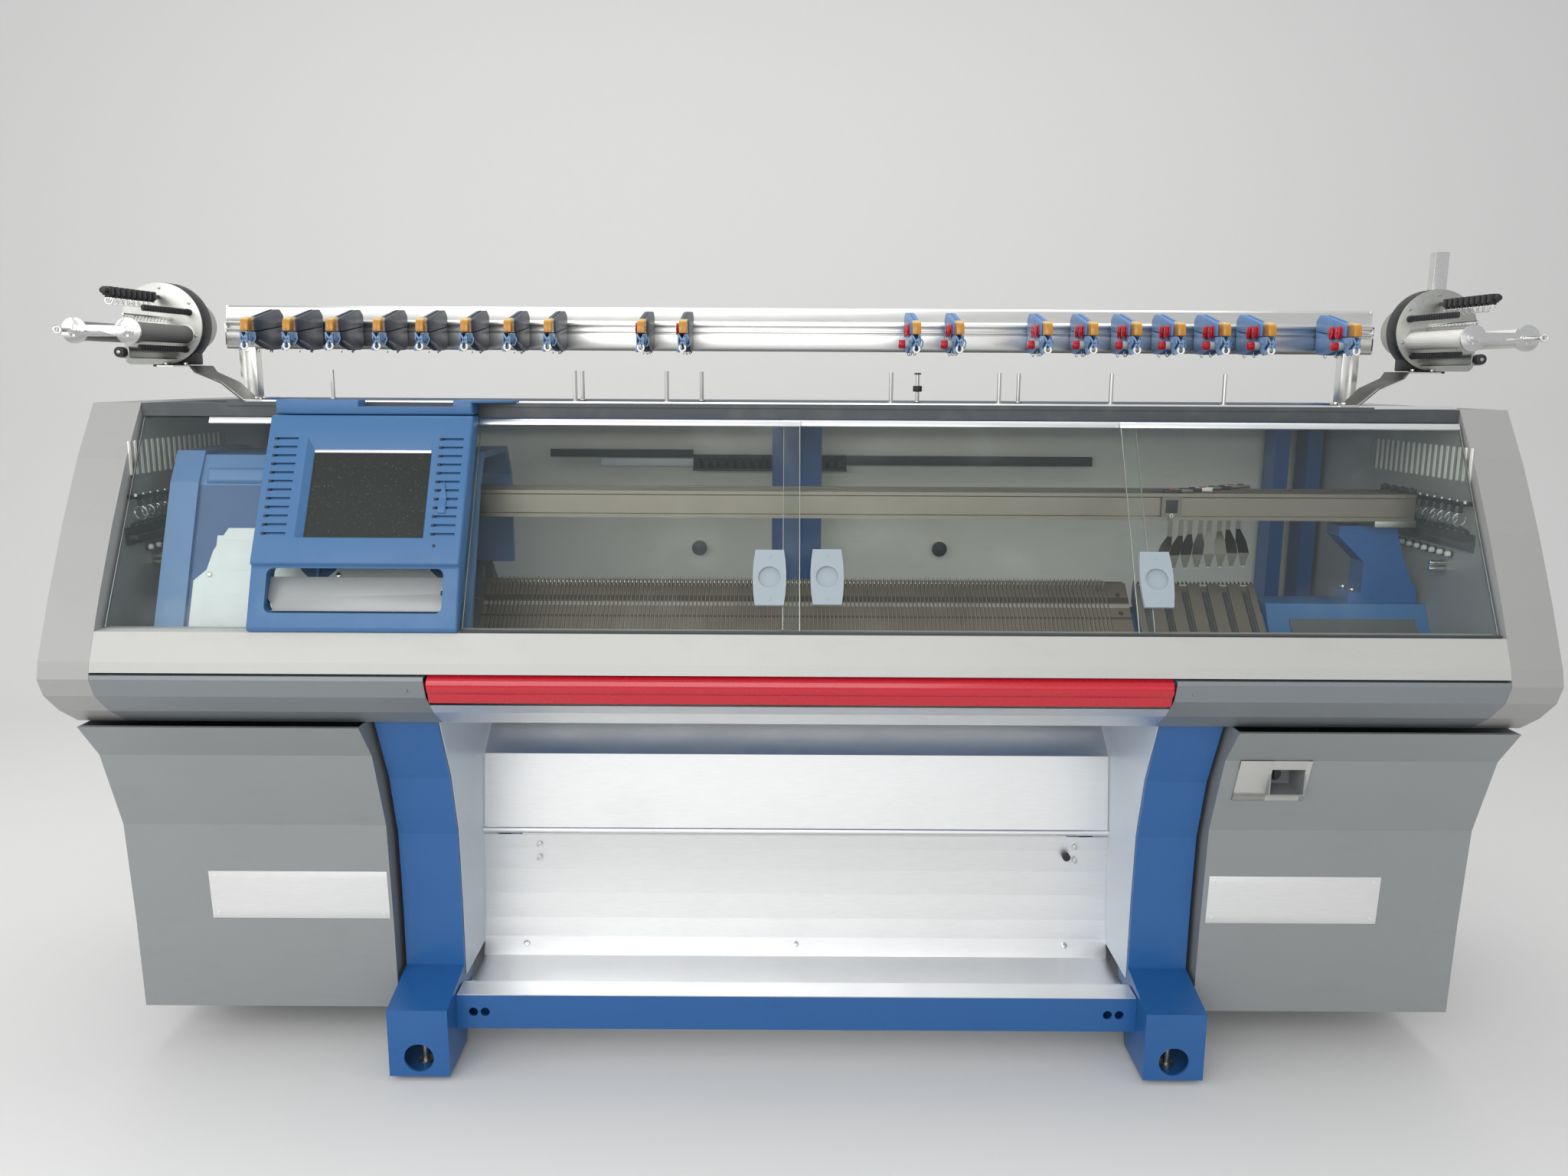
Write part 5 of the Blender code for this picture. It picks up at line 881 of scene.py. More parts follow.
def feeder_strips(side):
    """Two ribbed bars and the bright carrier with its guide roll, reaching from the plate over the arm."""
    front, root, back = DRUM.y - 0.19, DRUM.y - 0.001, DRUM.y + 0.0005
    bars = []
    for x, z in ((side * 1.318, 1.531), (side * 1.331, 1.4525)):
        bars.append(block("bar", (x - 0.003, front, z - 0.0052), (x + 0.003, root, z + 0.0052), 0.0008))
        rib = block("rib", (x - 0.0044, -0.0016, z - 0.0062), (x + 0.0044, 0.0016, z + 0.0062), 0.0005)
        bars += copied(rib, steps_back(front + 0.008, 0.0098, 18))
        bars.append(rod("root", (x, root - 0.011, z), (x, root, z), 0.0072, 16, round_by=0.001))
    x, z = side * 1.367, 1.443
    bars.append(rod("roll", (x, front - 0.012, z), (x, front + 0.006, z), 0.0105, 24, round_by=0.0015))
    feeder_piece(side, "feeder_bars", bars, "rubber")
    near, far = side * 1.352, side * 1.3545
    carrier = profile("carrier", oblong(near, 1.4315, far, 1.4545), front - 0.002, back, "xz",
                      round_by=0.0006)
    left, right = sorted((near, side * 1.377))
    ledge = block("ledge", (left, front + 0.0065, 1.4312), (right, back, 1.4334), 0.0006)
    pin = rod("pin", (x, front - 0.0135, z), (x, front + 0.009, z), 0.0036, 14, round_by=0.0005)
    feeder_piece(side, "feeder_carrier", [carrier, ledge, pin], "zinc")


def feeder_channel():
    """The open channel that stands beside the right drum."""
    outline = [(1.363, 0.103), (1.393, 0.103), (1.393, 0.106), (1.366, 0.106), (1.366, 0.125), (1.363, 0.125)]
    dress(profile("end_channel", outline, 1.5075, 1.672, plane="xy", round_by=0.0004), "bright")


# control panel, windows and deck

PANEL_LEFT, PANEL_WIDE, PANEL_TALL = -1.005, 0.383, 0.2979
PANEL_FOOT, PANEL_STAND = 1.062, 0.052
PANEL_FACE = lean_frame(PANEL_FOOT, PANEL_STAND) @ Matrix.Translation((PANEL_LEFT, 0, 0))
VENT_LONG, VENT_ROWS = 0.045, 12
VENTS = [(x, PANEL_TALL * (0.19 + 0.64 * i / (VENT_ROWS - 1)))
         for x in (0.0134, PANEL_WIDE - 0.0134 - VENT_LONG) for i in range(VENT_ROWS)]


def panel_piece(name, x0, y0, x1, y1, low, high, round_by=0.0):
    """A plate on the panel's leaning face, in metres from its lower left corner."""
    return profile(name, oblong(x0, y0, x1, y1), low, high, "xy", PANEL_FACE, round_by)


WELL_RIM = (0.0755, 0.0508, 0.3125, 0.2535)
WELL_FLOOR = (0.0885, 0.0535, 0.3085, 0.2305)
SCREEN_DEPTH = 0.009


def screen_well():
    """The sunk field round the screen: its sides slope from the rim down to the floor."""
    low, high = -0.0118, 0.006
    fresh()
    bpy.ops.mesh.primitive_cube_add(size=1)
    obj = bpy.context.object
    for vertex in obj.data.vertices:
        height = high if vertex.co.z > 0 else low
        share = -height / SCREEN_DEPTH
        index = (0 if vertex.co.x < 0 else 2, 1 if vertex.co.y < 0 else 3)
        x, y = (WELL_RIM[i] + (WELL_FLOOR[i] - WELL_RIM[i]) * share for i in index)
        vertex.co = (x, y, height)
    obj.matrix_world = PANEL_FACE
    return settle(obj, "well")


def panel_shell():
    """The moulded housing: bezel with a sunk screen and vents over an open frame."""
    low, foot, top = 0.9405, PANEL_FOOT, 1.325
    face, back = glass_y(foot) - PANEL_STAND, 0.003
    outline = [(glass_y(top) - PANEL_STAND, top), (face, foot), (face + 0.006, foot - 0.006), (-0.426, 0.948),
               (-0.423, low), (glass_y(0.94) - back, low), (glass_y(top) - back, top)]
    shell = profile("shell", outline, PANEL_LEFT, PANEL_LEFT + PANEL_WIDE, round_by=0.005, segments=3)
    vents = [panel_piece("vent", x, y - 0.0005, x + VENT_LONG, y + 0.0045, -0.006, 0.01) for x, y in VENTS]
    low, top = 0.975, 1.053
    window = moved(round_outline(PANEL_WIDE - 0.06, top - low, 0.012), PANEL_LEFT + PANEL_WIDE / 2,
                   (low + top) / 2)
    hole = profile("hole", window, -0.5, glass_y(1.0) + 0.04, plane="xz")
    carve(shell, screen_well(), merged("vents", vents), hole)
    dress(shell, "panel_blue", nodes=("operator_panel",), soft=30)


def panel_details():
    """Vent studs, the screen's bright strip and dark seal, and the arrow wedge."""
    studs = []
    for x, y, low, high, radius in (*((x + 0.003, y + 0.002, -0.0055, 0.0006, 0.0028) for x, y in VENTS),
                                    (0.3335, 0.036, -0.002, 0.0008, 0.003)):
        place = PANEL_FACE @ Matrix.Translation((x, y, 0))
        studs.append(rod("stud", place @ Vector((0, 0, low)), place @ Vector((0, 0, high)), radius, 12))
    dress(merged("vent_studs", studs), "black")
    left, low, right, high = WELL_FLOOR
    sunk = -SCREEN_DEPTH - 0.0005
    strip = panel_piece("screen_strip", left, high - 0.0058, right, high - 0.0004, sunk, -0.0078, 0.0005)
    dress(strip, "brushed")
    lines = [panel_piece("line", *corners, sunk, -0.0083) for corners in (
        (left, low, left + 0.002, high - 0.006), (left, low, right, low + 0.0015),
        (left, high - 0.0085, right, high - 0.006))]
    dress(merged("screen_seal", lines), "rubber")
    left, right = PANEL_WIDE - 0.049, PANEL_WIDE - 0.0345
    wedge = panel_piece("wedge", left, 0.1, right, 0.128, -0.001, 0.0026, 0.001)
    tip = profile("tip", [(left, 0.128), (right, 0.128), (PANEL_WIDE - 0.0415, 0.165)], -0.001, 0.0026, "xy",
                  PANEL_FACE, 0.0008)
    dress(merged("panel_wedge", [wedge, tip]), "panel_blue")


def document_sheet():
    """The bent sheet that holds papers in the panel's open frame, its ends notched for the hand."""
    left, right, tall = PANEL_LEFT + 0.0305, PANEL_LEFT + PANEL_WIDE - 0.0305, 0.067
    notch = [(right - 0.007 * math.sin(a), 0.037 - 0.007 * math.cos(a))
             for a in (math.pi * i / 6 for i in range(1, 6))]
    outline = [(left + 0.012, 0.0), (right, 0.0), (right, 0.03), *notch, (right, 0.045), (right, tall),
               (left, tall), (left, 0.025), (left + 0.009, 0.014)]
    place = lean_frame(0.9756, 0.02)
    sheet = profile("sheet", outline, -0.0019, 0.0, "xy", place, 0.0004)
    lip = profile("lip", oblong(left + 0.012, 0.0, right, 0.0016), -0.0017, 0.0045, "xy", place, 0.0004)
    dress(merged("document_sheet", [sheet, lip]), "tray", nodes=("document_tray",))


def panel_top_tray():
    """The housing's head: a wave-edged tray with a sunk floor, and the low wing beside it."""
    left, right = PANEL_LEFT + 0.004, PANEL_LEFT + PANEL_WIDE - 0.004
    back, front, low, top = -0.172, -0.2465, 1.3262, 1.3537
    wave = [(right - (right - left) * (0.1 + 0.8 * share),
             front - 0.003 * math.sin(share * math.pi) + 0.006 * (1 - share))
            for share in (i / 8 for i in range(9))]
    outline = [(left, back), (right, back), (right, front + 0.004), *wave, (left, front + 0.006)]
    tray = profile("tray", outline, low, top, plane="xy", round_by=0.004, segments=3)
    inner = [(left + 0.035, back - 0.008), (right - 0.03, back - 0.008), (right - 0.036, front + 0.03),
             (left + 0.17, front + 0.022), (left + 0.13, front + 0.034), (left + 0.05, front + 0.04)]
    mouth = [(left + 0.155, front - 0.02), (right - 0.036, front - 0.02), (right - 0.036, front + 0.04),
             (left + 0.17, front + 0.04)]
    carve(tray, profile("inside", inner, low + 0.008, top + 0.0125, plane="xy"),
          profile("mouth", mouth, low + 0.0155, top + 0.0125, plane="xy"))
    ledge = [(right - 0.002, back), (right - 0.002, front + 0.006), (right + 0.07, front + 0.04),
             (right + 0.085, back)]
    wing = profile("wing", ledge, top - 0.0047, top, plane="xy", round_by=0.0012)
    dress(merged("panel_head", [tray, wing]), "panel_blue")


def window_trims():
    """Pale edges and bright head strips on the panes, each on the body that its pane rides on."""
    high = (1.318 - GLASS_FOOT[1]) / math.cos(WINDOW_LEAN)
    for word, slot, body, left, right, head_left, back in (
            ("fixed", "fixed_window", "machine", -1.278, -0.62, -1.15, DOOR_STEP),
            ("left", "door_left", "door_left_body", -0.653, 0.0, -0.653, 0.0),
            ("middle", "door_middle", "door_middle_body", -0.033, 0.653, -0.033, DOOR_STEP),
            ("right", "door_right", "door_right_body", 0.62, 1.278, 0.62, 0.0)):
        place = lean_frame(GLASS_FOOT[1], -back)
        edges = [profile("edge", oblong(x, 0.004, x + 0.0012, high - 0.003), -0.0038, 0.0006, "xy", place,
                         0.0003)
                 for x in (left + 0.0004, right - 0.0016)]
        head = profile(f"glass_head_{word}", oblong(head_left, high - 0.012, right, high), -0.0042, 0.0012,
                       "xy",
                       place, 0.0004)
        dress(merged(f"glass_edges_{word}", edges), "zinc", body)
        dress(head, "brushed", body)


def handle_rims():
    """Round dishes' rims and their screws on the three door pulls."""
    for word, middle, back in (("left", -0.057, 0.0), ("middle", 0.05, DOOR_STEP), ("right", 0.66, 0.0)):
        ring = hoop("rim", (0, 0, 0.0071), (0, 0, 1), 0.0248, 0.0014, 36, 8)
        studs = [rod("stud", (0, y, 0.0075), (0, y, 0.0088), 0.0032, 12, round_by=0.0004)
                 for y in (-0.042, 0.042)]
        piece = merged(f"handle_trim_{word}", [ring, *studs])
        piece.matrix_world = lean_frame(GLASS_FOOT[1], -back) @ Matrix.Translation((middle, 0.105, 0))
        dress(settle(piece), "handle", f"door_{word}_body")


def window_rails():
    """The dark gutter along the sill and the bright rails over the glass."""
    foot, low = GLASS_FOOT[0], 1.3455
    gutter = profile("door_gutter", oblong(foot - 0.012, 0.9403, foot - 0.0035, 0.9445), -0.62, 1.278,
                     round_by=0.0008)
    dress(gutter, "dark_grey")
    rails = [profile("rail", oblong(y, low, y + 0.004, low + tall), -1.08, 1.275, round_by=0.0006)
             for y, tall in ((-0.1945, 0.004), (-0.188, 0.0065))]
    dress(merged("window_head_rails", rails), "brushed")


def deck_pins():
    """Collars at the feet of the deck's pins, and the knob and nut on one of them."""
    places = [(x, -0.165) for x in (-0.442, -0.262, 0.178, 0.39, 0.61, 0.832)]
    places += [(x, 0.0) for x in (-0.98, -0.455, -0.205, 0.248, 0.46)]
    collars = [rod("collar", (x, y, DECK_TOP + 0.0002), (x, y, DECK_TOP + 0.004), 0.008, 12, round_by=0.0008)
               for x, y in places]
    dress(merged("pin_collars", collars), "zinc")
    knob = rod("knob", (0.248, 0, 1.4075), (0.248, 0, 1.4105), 0.0075, 16, round_by=0.0008)
    nut = rod("nut", (0.248, 0, 1.372), (0.248, 0, 1.384), 0.0095, 12, round_by=0.001)
    dress(merged("pin_knob", [knob, nut]), "rubber")


# beds, rails and yarn guides

def bed_piece(obj, side, name, finish, body, soft=35):
    """Set a piece that is drawn on the front bed's face on the bed of a side."""
    obj.matrix_world = slope_frame()
    settle(obj, name)
    if side > 0:
        obj.matrix_world = (Matrix.Translation((0, GAP_PLANE, 0)) @ Matrix.Diagonal((1, -1, 1, 1))
                            @ Matrix.Translation((0, -GAP_PLANE, 0)))
        settle(obj, name)
        bpy.ops.object.mode_set(mode="EDIT")
        bpy.ops.mesh.select_all(action="SELECT")
        bpy.ops.mesh.normals_make_consistent(inside=False)
        bpy.ops.object.mode_set(mode="OBJECT")
    return dress(obj, finish, body, soft=soft)


def needle(at):
    """A latch needle that lies in its groove: stem, butt, latch and hooked head."""
    wide = bpy.context.scene.machine_sizes.needle_width / 2
    outline = [(-0.205, -0.0036), (-0.006, -0.0036), (-0.0005, -0.0014), (0.0016, 0.0008), (0.0008, 0.0022),
               (-0.0012, 0.0016), (-0.0008, 0.0002), (-0.004, -0.0012), (-0.205, -0.0012)]
    stem = profile("stem", outline, at - wide, at + wide)
    latch = profile("latch", [(-0.022, -0.0008), (-0.012, 0.0006), (-0.0105, -0.0002), (-0.021, -0.0016)],
                    at - wide / 2, at + wide / 2)
    return merged("needle", [stem, latch])


def needles():
    """One row of needles for each bed, each lying in its own groove."""
    count, pitch = bpy.context.scene.machine_sizes.needles, NEEDLE_PITCH
    for side, word, body in BEDS:
        row = in_a_row(needle(-(count - 1) / 2 * pitch), count, (pitch, 0, 0))
        bed_piece(row, side, f"{word}_needles", "needle", body, 20)


def comb_teeth():
    """The thin plates between the needles at the top of each bed."""
    half = bpy.context.scene.machine_sizes.tooth_width / 2
    pitch, count = NEEDLE_PITCH, bpy.context.scene.machine_sizes.needles - 1
    outline = [(-0.014, -0.002), (0.0018, -0.002), (0.0044, 0.0012), (0.003, 0.0042), (-0.0015, 0.0034),
               (-0.011, 0.0004)]
    for side, word, body in BEDS:
        at = -(count - 1) / 2 * pitch
        row = in_a_row(profile("tooth", outline, at - half, at + half), count, (pitch, 0, 0))
        bed_piece(row, side, f"{word}_comb", "blade", body, 20)


def bed_trims():
    """The screws at the ends of both beds."""
    for side, word, body in BEDS:
        screws = [rod("screw", (x, y, -0.003), (x, y, 0.0002), 0.0052, 12, round_by=0.0004)
                  for x in (-0.655, 0.655) for y in (-0.03, -0.075, -0.13, -0.185)]
        bed_piece(merged("screws", screws), side, f"{word}_bed_screws", "rubber", body)


def clamp_combs():
    """Serrated edges and dark lanes over the yarn clamps at both ends of the front bed."""
    wide, tooth_count, lane_count = 0.25, 30, 6
    for side, start in ((-1, -0.94), (1, 0.69)):
        teeth, pads = [], []
        for i in range(tooth_count):
            x = start + wide * (i + 0.5) / tooth_count
            teeth.append(profile("tooth", [(x - 0.003, -0.0005), (x + 0.003, -0.0005), (x, 0.0075)],
                                 -0.0028, -0.0008, plane="xy"))
        for i in range(lane_count):
            x = start + wide / lane_count * (i + 0.5)
            pads.append(block("pad", (x - 0.0045, -0.185, -0.0036), (x + 0.0045, -0.02, -0.0012), 0.0006))
            pads.append(block("slider", (x - 0.0032, -0.06, -0.0022), (x + 0.0032, -0.035, -0.0002), 0.0006))
        word = WORDS[side]
        bed_piece(merged("teeth", teeth), -1, f"clamp_teeth_{word}", "bright", "machine")
        bed_piece(merged("pads", pads), -1, f"clamp_lanes_{word}", "dark_grey", "machine")


def guide_shoes():
    """Shoes, coloured flags and eyelets on the eight yarn guides."""
    looks = ("rubber", "blade", "rubber", "white", "rail_metal", "rubber", "rail_metal", "blade")
    for i, look in enumerate(looks):
        out = -1 if i % 2 == 0 else 1
        x, lane = 0.745 + 0.026 * i, RAIL_PLACES[i // 2] + out * 0.0063
        tip = GAP_PLANE + (i - 3.5) * 0.0055
        body, slot = f"guide_{i + 1}", f"yarn_guide_{i + 1}"
        near, far = sorted((lane, lane + out * 0.002))
        shoe = block("shoe", (x - 0.0185, lane - 0.0028, 1.1765), (x + 0.0185, lane + 0.0028, 1.184), 0.001)
        cap = block("cap", (x - 0.012, near - 0.0008, 1.137), (x + 0.012, far + 0.0008, 1.163), 0.0008)
        dress(merged(f"guide_shoe_{i + 1}", [shoe, cap]), look, body)
        flag = block(f"guide_flag_{i + 1}", (x - 0.007, lane - 0.003, 1.184),
                     (x + 0.004, lane + 0.003, 1.1858),
                     0.0005)
        dress(flag, "red" if i % 3 == 0 else "black", body)
        eyelet = hoop("eyelet", (x, tip, 1.0195), (0, 1, 0), 0.0028, 0.0009, 16, 6)
        upper = hoop("upper", (x, lane + out * 0.003, 1.132), (0, 1, 0), 0.0032, 0.0009, 16, 6)
        dress(merged(f"guide_eyelets_{i + 1}", [eyelet, upper]), "white", body)


def rail_stops():
    """Clamp blocks and end screws on the four rails."""
    stops = []
    for side in WORDS:
        x = side * 1.226
        for y in RAIL_PLACES:
            stops.append(block("stop", (x - 0.008, y - 0.0058, 1.1765), (x + 0.008, y + 0.0058, 1.187),
                               0.001))
            stops.append(rod("screw", (x, y, 1.187), (x, y, 1.1895), 0.0035, 10, round_by=0.0006))
    dress(merged("rail_stops", stops), "black")


# carriage

def cover_frame():
    """The leaning front of the carriage cover: x along, y up the face, z outwards."""
    return leaning(-0.3391, 0.885, math.radians(21.8))


def facet(name, x0, y0, x1, y1, high, inset, place, round_by=0.002):
    """A flat pyramid: a block whose raised face is inset, like a moulded pad."""
    obj = block(name, (x0, y0, 0), (x1, y1, high))
    for vertex in obj.data.vertices:
        if vertex.co.z > high / 2:
            vertex.co.x += inset if vertex.co.x < (x0 + x1) / 2 else -inset
            vertex.co.y += inset if vertex.co.y < (y0 + y1) / 2 else -inset
    obj.matrix_world = place
    return rounded(settle(obj, name), round_by, 2, 12)


def carriage_dress():
    """The moulded cover's sheet of painted shade, pale head plate, cream faceted pads, rib and screws."""
    place, left, right = cover_frame(), CARRIAGE_START, CARRIAGE_START + CARRIAGE_WIDE
    # A thin darker blue sheet over the cover's face paints the shade that falls on it.
    field = profile("painted_shade_sheet", oblong(left + 0.0555, 0.002, right - 0.0555, 0.326), -0.001, 0.0012,
                    "xy",
                    place)
    dress(field, "carriage_painted_shade", "carriage")
    shape = [(0, 0.012), (1, 0.012), (1, 0.136), (0.9, 0.157), (0.86, 0.195), (0.75, 0.24), (0.25, 0.24),
             (0.14, 0.195), (0.1, 0.157), (0, 0.136)]
    high, edge = 0.0078, 0.0008
    cream, screws = [], []
    for x0, x1 in ((left + 0.062, left + 0.29), (right - 0.29, right - 0.062)):
        cream.append(profile("base", [(x0 + (x1 - x0) * a, b) for a, b in shape], 0.0, 0.0026, "xy", place,
                             edge))
        middle = (x0 + x1) / 2
        for a, b in ((x0 + 0.004, middle - 0.003), (middle + 0.003, x1 - 0.004)):
            cream.append(facet("pad", a, 0.016, b, 0.128, high, 0.05, place, edge))
        cream.append(facet("pad", x0 + 0.03, 0.14, x1 - 0.03, 0.232, high, 0.044, place, edge))
        screws.append(rod("screw", place @ Vector((x0 + 0.03, 0.148, 0.002)),
                          place @ Vector((x0 + 0.03, 0.148, 0.0075)), 0.0048, 12, round_by=edge))
    dress(merged("carriage_pads", cream), "cream", "carriage", soft=8)
    dress(merged("carriage_screws", screws), "bright", "carriage")
    head = facet("head", left + 0.066, 0.328, right - 0.066, 0.362, 0.0076, 0.006, place)
    middle = (left + right) / 2
    rib = profile("rib", oblong(middle - 0.003, 0.02, middle + 0.003, 0.31), -0.001, 0.0055, "xy", place,
                  0.001)
    dress(merged("carriage_head", [head, rib]), "carriage_blue", "carriage")


# casing, end walls and lower front

def wall_slots():
    """White-lined slots in both end walls, with rows of rings, rails, beads and plugs below them."""
    whites, rings, arms, beads = [], [], [], []
    for side in WORDS:
        x = side * 1.2828
        inner = sorted((x, x - side * 0.0022))
        for i in range(18):
            y = -0.25 + 0.36 * i / 17
            lining = profile("lining", moved(round_outline(0.0065, 0.066, 0.003, 3), y, 1.2415), *inner)
            hole = profile("hole", moved(round_outline(0.0035, 0.061, 0.0017, 3), y, 1.2415), inner[0] - 0.01,
                           inner[1] + 0.01)
            whites.append(carve(lining, hole))
        centre = x - side * 0.021
        low, high = sorted((x, centre))
        for i in range(9):
            y = -0.05 - 0.027 * i
            rings.append(hoop("ring", (centre, y, 1.139), (0, 1, 0.15), 0.0125, 0.0019, 24, 6))
            rings.append(rod("bolt", (centre, y - 0.0135, 1.171), (centre, y - 0.0135, 1.1765), 0.0034, 8))
            arms.append(rod("arm", (centre, y, 1.152), (centre, y - 0.004, 1.168), 0.0042, 10, 0.0032))
            arms.append(rod("root", (x, y, 1.1135), (centre, y, 1.1265), 0.0036, 8, 0.0028))
        for z, end in ((1.169, -0.272), (1.094, -0.292)):
            arms.append(rod("rail", (centre, 0.0, z), (centre, end, z), 0.0046, 12, round_by=0.0008))
            for y in (-0.004, end + 0.004):
                arms.append(block("hanger", (low, y - 0.003, z - 0.004), (high, y + 0.003, z + 0.004),
                                  0.0008))
        low, high = sorted((x, x - side * 0.004))
        arms.append(block("plate", (low, -0.29, 1.078), (high, -0.005, 1.112), 0.001))
        for i in range(8):
            y, z = -0.013 - 0.029 * i, 1.066
            beads.append(rod("bead", (x - side * 0.004, y, z), (x - side * 0.013, y, z), 0.0062, 14, 0.0048,
                             round_by=0.001))
            arms.append(rod("seat", (x, y, z), (x - side * 0.005, y, z), 0.0078, 12))
        for z in (1.046, 1.034):
            rings.append(rod("plug", (x, -0.2, z), (x - side * 0.034, -0.2, z), 0.0062, 14, 0.0052,
                             round_by=0.0008))
    for name, pieces, finish in (("wall_slot_linings", whites, "white"), ("wall_rings", rings, "bright"),
                                 ("wall_ring_arms", arms, "black"), ("wall_beads", beads, "white")):
        dress(merged(name, pieces), finish)


def rear_wall_fittings():
    """Plugs, a pale guide strip, a cable chain's tray and a dark bar on the rear covers' inner face."""
    face, seat = 0.4238, 0.4235
    plugs = [rod("plug", (x, face - 0.003, 0.976), (x, face, 0.976), 0.019, 28, round_by=0.0012)
             for x in (-0.243, 0.36)]
    plugs += [rod("dimple", (x, face - 0.0042, 0.976), (x, face - 0.0025, 0.976), 0.008, 20, round_by=0.0008)
              for x in (-0.243, 0.36)]
    dress(merged("wall_plugs", plugs), "black")
    strip = block("wall_strip", (-0.484, face - 0.007, 1.181), (-0.256, seat, 1.2), 0.001)
    dress(strip, "cream")
    tray = profile("tray", [(seat, 1.172), (face - 0.028, 1.172), (face - 0.028, 1.178),
                            (face - 0.004, 1.178),
                            (face - 0.004, 1.21), (seat, 1.21)], -0.256, 0.123, round_by=0.0008)
    bar = block("bar", (0.123, face - 0.012, 1.186), (0.731, seat, 1.209), 0.001)
    slim = block("slim", (-0.609, face - 0.009, 1.203), (-0.256, seat, 1.222), 0.001)
    dress(merged("chain_tray", [tray, bar, slim]), "dark_grey")
    link = block("link", (-0.0062, face - 0.0265, 1.1782), (0.0062, face - 0.0045, 1.2), 0.0015)
    web = block("web", (-0.0085, face - 0.022, 1.184), (0.0085, face - 0.009, 1.195), 0.001)
    links = copied(merged("link", [link, web]), [Vector((-0.243 + 0.0205 * i, 0, 0)) for i in range(18)])
    dress(merged("cable_chain", links), "rubber")


def block_fittings():
    """Sponge strips, bolts and bright plates on the blue end blocks and brackets."""
    section = [(-0.1565, 0.921), (-0.1592, 0.9223), (-0.1664, 0.9085), (-0.181, 0.8975), (-0.178, 0.893),
               (-0.162, 0.9)]
    sponges, plates, bolts = [], [], []
    for side in WORDS:
        sponges.append(profile("sponge", section, *sorted((side * 1.0, side * 1.255)), round_by=0.0006))
        low, high = sorted((side * 1.155, side * 1.2372))
        plates.append(block("plate", (low, -0.1597, 1.1101), (high, -0.1585, 1.1222), 0.0004))
        for x, y in ((1.14, -0.12), (1.14, -0.08), (1.262, -0.12), (1.262, -0.08)):
            bolts.append(rod("bolt", (side * x, y, 0.9725), (side * x, y, 0.9785), 0.0058, 16,
                             round_by=0.0008))
            bolts.append(rod("socket", (side * x, y, 0.978), (side * x, y, 0.9794), 0.003, 6))
    dress(merged("block_sponges", sponges), "sponge")
    dress(merged("bracket_plates", plates), "zinc")
    dress(merged("bracket_bolts", bolts), "bright")


def cabinet_y(height):
    """How far forward the cabinets' front stands at a height."""
    share = (height - CABINET_FOOT) / (CABINET_TOP - CABINET_FOOT)
    for (y1, s1), (y0, s0) in zip(CABINET_FRONT, CABINET_FRONT[1:]):
        if s0 <= share <= s1:
            return -CASING_REACH * (y0 + (y1 - y0) * (share - s0) / (s1 - s0))
    return -CASING_REACH * CABINET_FRONT[0][0]


def on_cabinet(name, x0, x1, z0, z1, low, high, steps=7):
    """A plate that follows the cabinet's curved front between two heights."""
    heights = [z0 + (z1 - z0) * i / (steps - 1) for i in range(steps)]
    front = [(cabinet_y(z) - low, z) for z in heights]
    back = [(y - (high - low), z) for y, z in reversed(front)]
    return profile(name, front + back, x0, x1, round_by=0.0005)


def nameplates():
    """A bare bordered plate low on each cabinet."""
    low, high, inset = 0.3, 0.405, 0.012
    for word, x0, x1 in (("left", -1.2, -0.836), ("right", 0.84, 1.19)):
        plate = on_cabinet("plate", x0, x1, low, high, 0.0003, 0.0012)
        studs = [rod("stud", (x, cabinet_y(z) - 0.0008, z), (x, cabinet_y(z) - 0.0022, z), 0.0028, 12)
                 for x in (x0 + inset, x1 - inset) for z in (low + inset, high - inset)]
        dress(merged(f"bare_plate_{word}", [plate, *studs]), "brushed")


def switch_recess():
    """The pale frame round the switch port, and the knob's grip."""
    parts = [on_cabinet("rim", *corners, 0.0003, 0.0035, steps=4) for corners in (
        (0.86, 0.925, 0.58, 0.672), (0.99, 1.0, 0.58, 0.672), (0.86, 1.0, 0.652, 0.672),
        (0.86, 1.0, 0.58, 0.6))]
    dress(merged("port_frame", parts), "sill")
    grip = block("switch_grip", (0.9425, -0.279, 0.62), (0.9485, -0.2755, 0.644), 0.001)
    dress(grip, "black", "switch_knob")


def takedown_fittings():
    """Screws and a latch knob on the panel below the take-down flap."""
    screws, size = [], bpy.context.scene.machine_sizes.screw / 2
    for x in (-0.6, 0.0, 0.6):
        screws.append(rod("screw", (x, -0.0665, 0.155), (x, -0.0585, 0.155), size, 14, round_by=0.0008))
    for x, z in ((-0.57, 0.375), (-0.57, 0.345), (0.62, 0.375), (0.62, 0.345)):
        y = -0.064 + (z - 0.158) / (0.397 - 0.158) * 0.034
        screws.append(rod("screw", (x, y - 0.004, z), (x, y + 0.001, z), size * 0.92, 14, round_by=0.0008))
    dress(merged("panel_screws", screws), "bright")
    knob = rod("panel_latch", (0.6, -0.047, 0.355), (0.6, -0.034, 0.355), 0.0085, 20, round_by=0.0012)
    dress(knob, "rubber")


def foot_details():
    """Lock nuts and rings on the four levelling feet."""
    parts = []
    for x in (-0.7575, 0.7575):
        for y in (-0.307, 0.29):
            parts.append(rod("nut", (x, y, 0.0148), (x, y, 0.022), 0.0135, 6, round_by=0.0008))
            parts.append(rod("ring", (x, y, 0.0222), (x, y, 0.0242), 0.0155, 20, round_by=0.0004))
    dress(merged("foot_nuts", parts), "zinc")


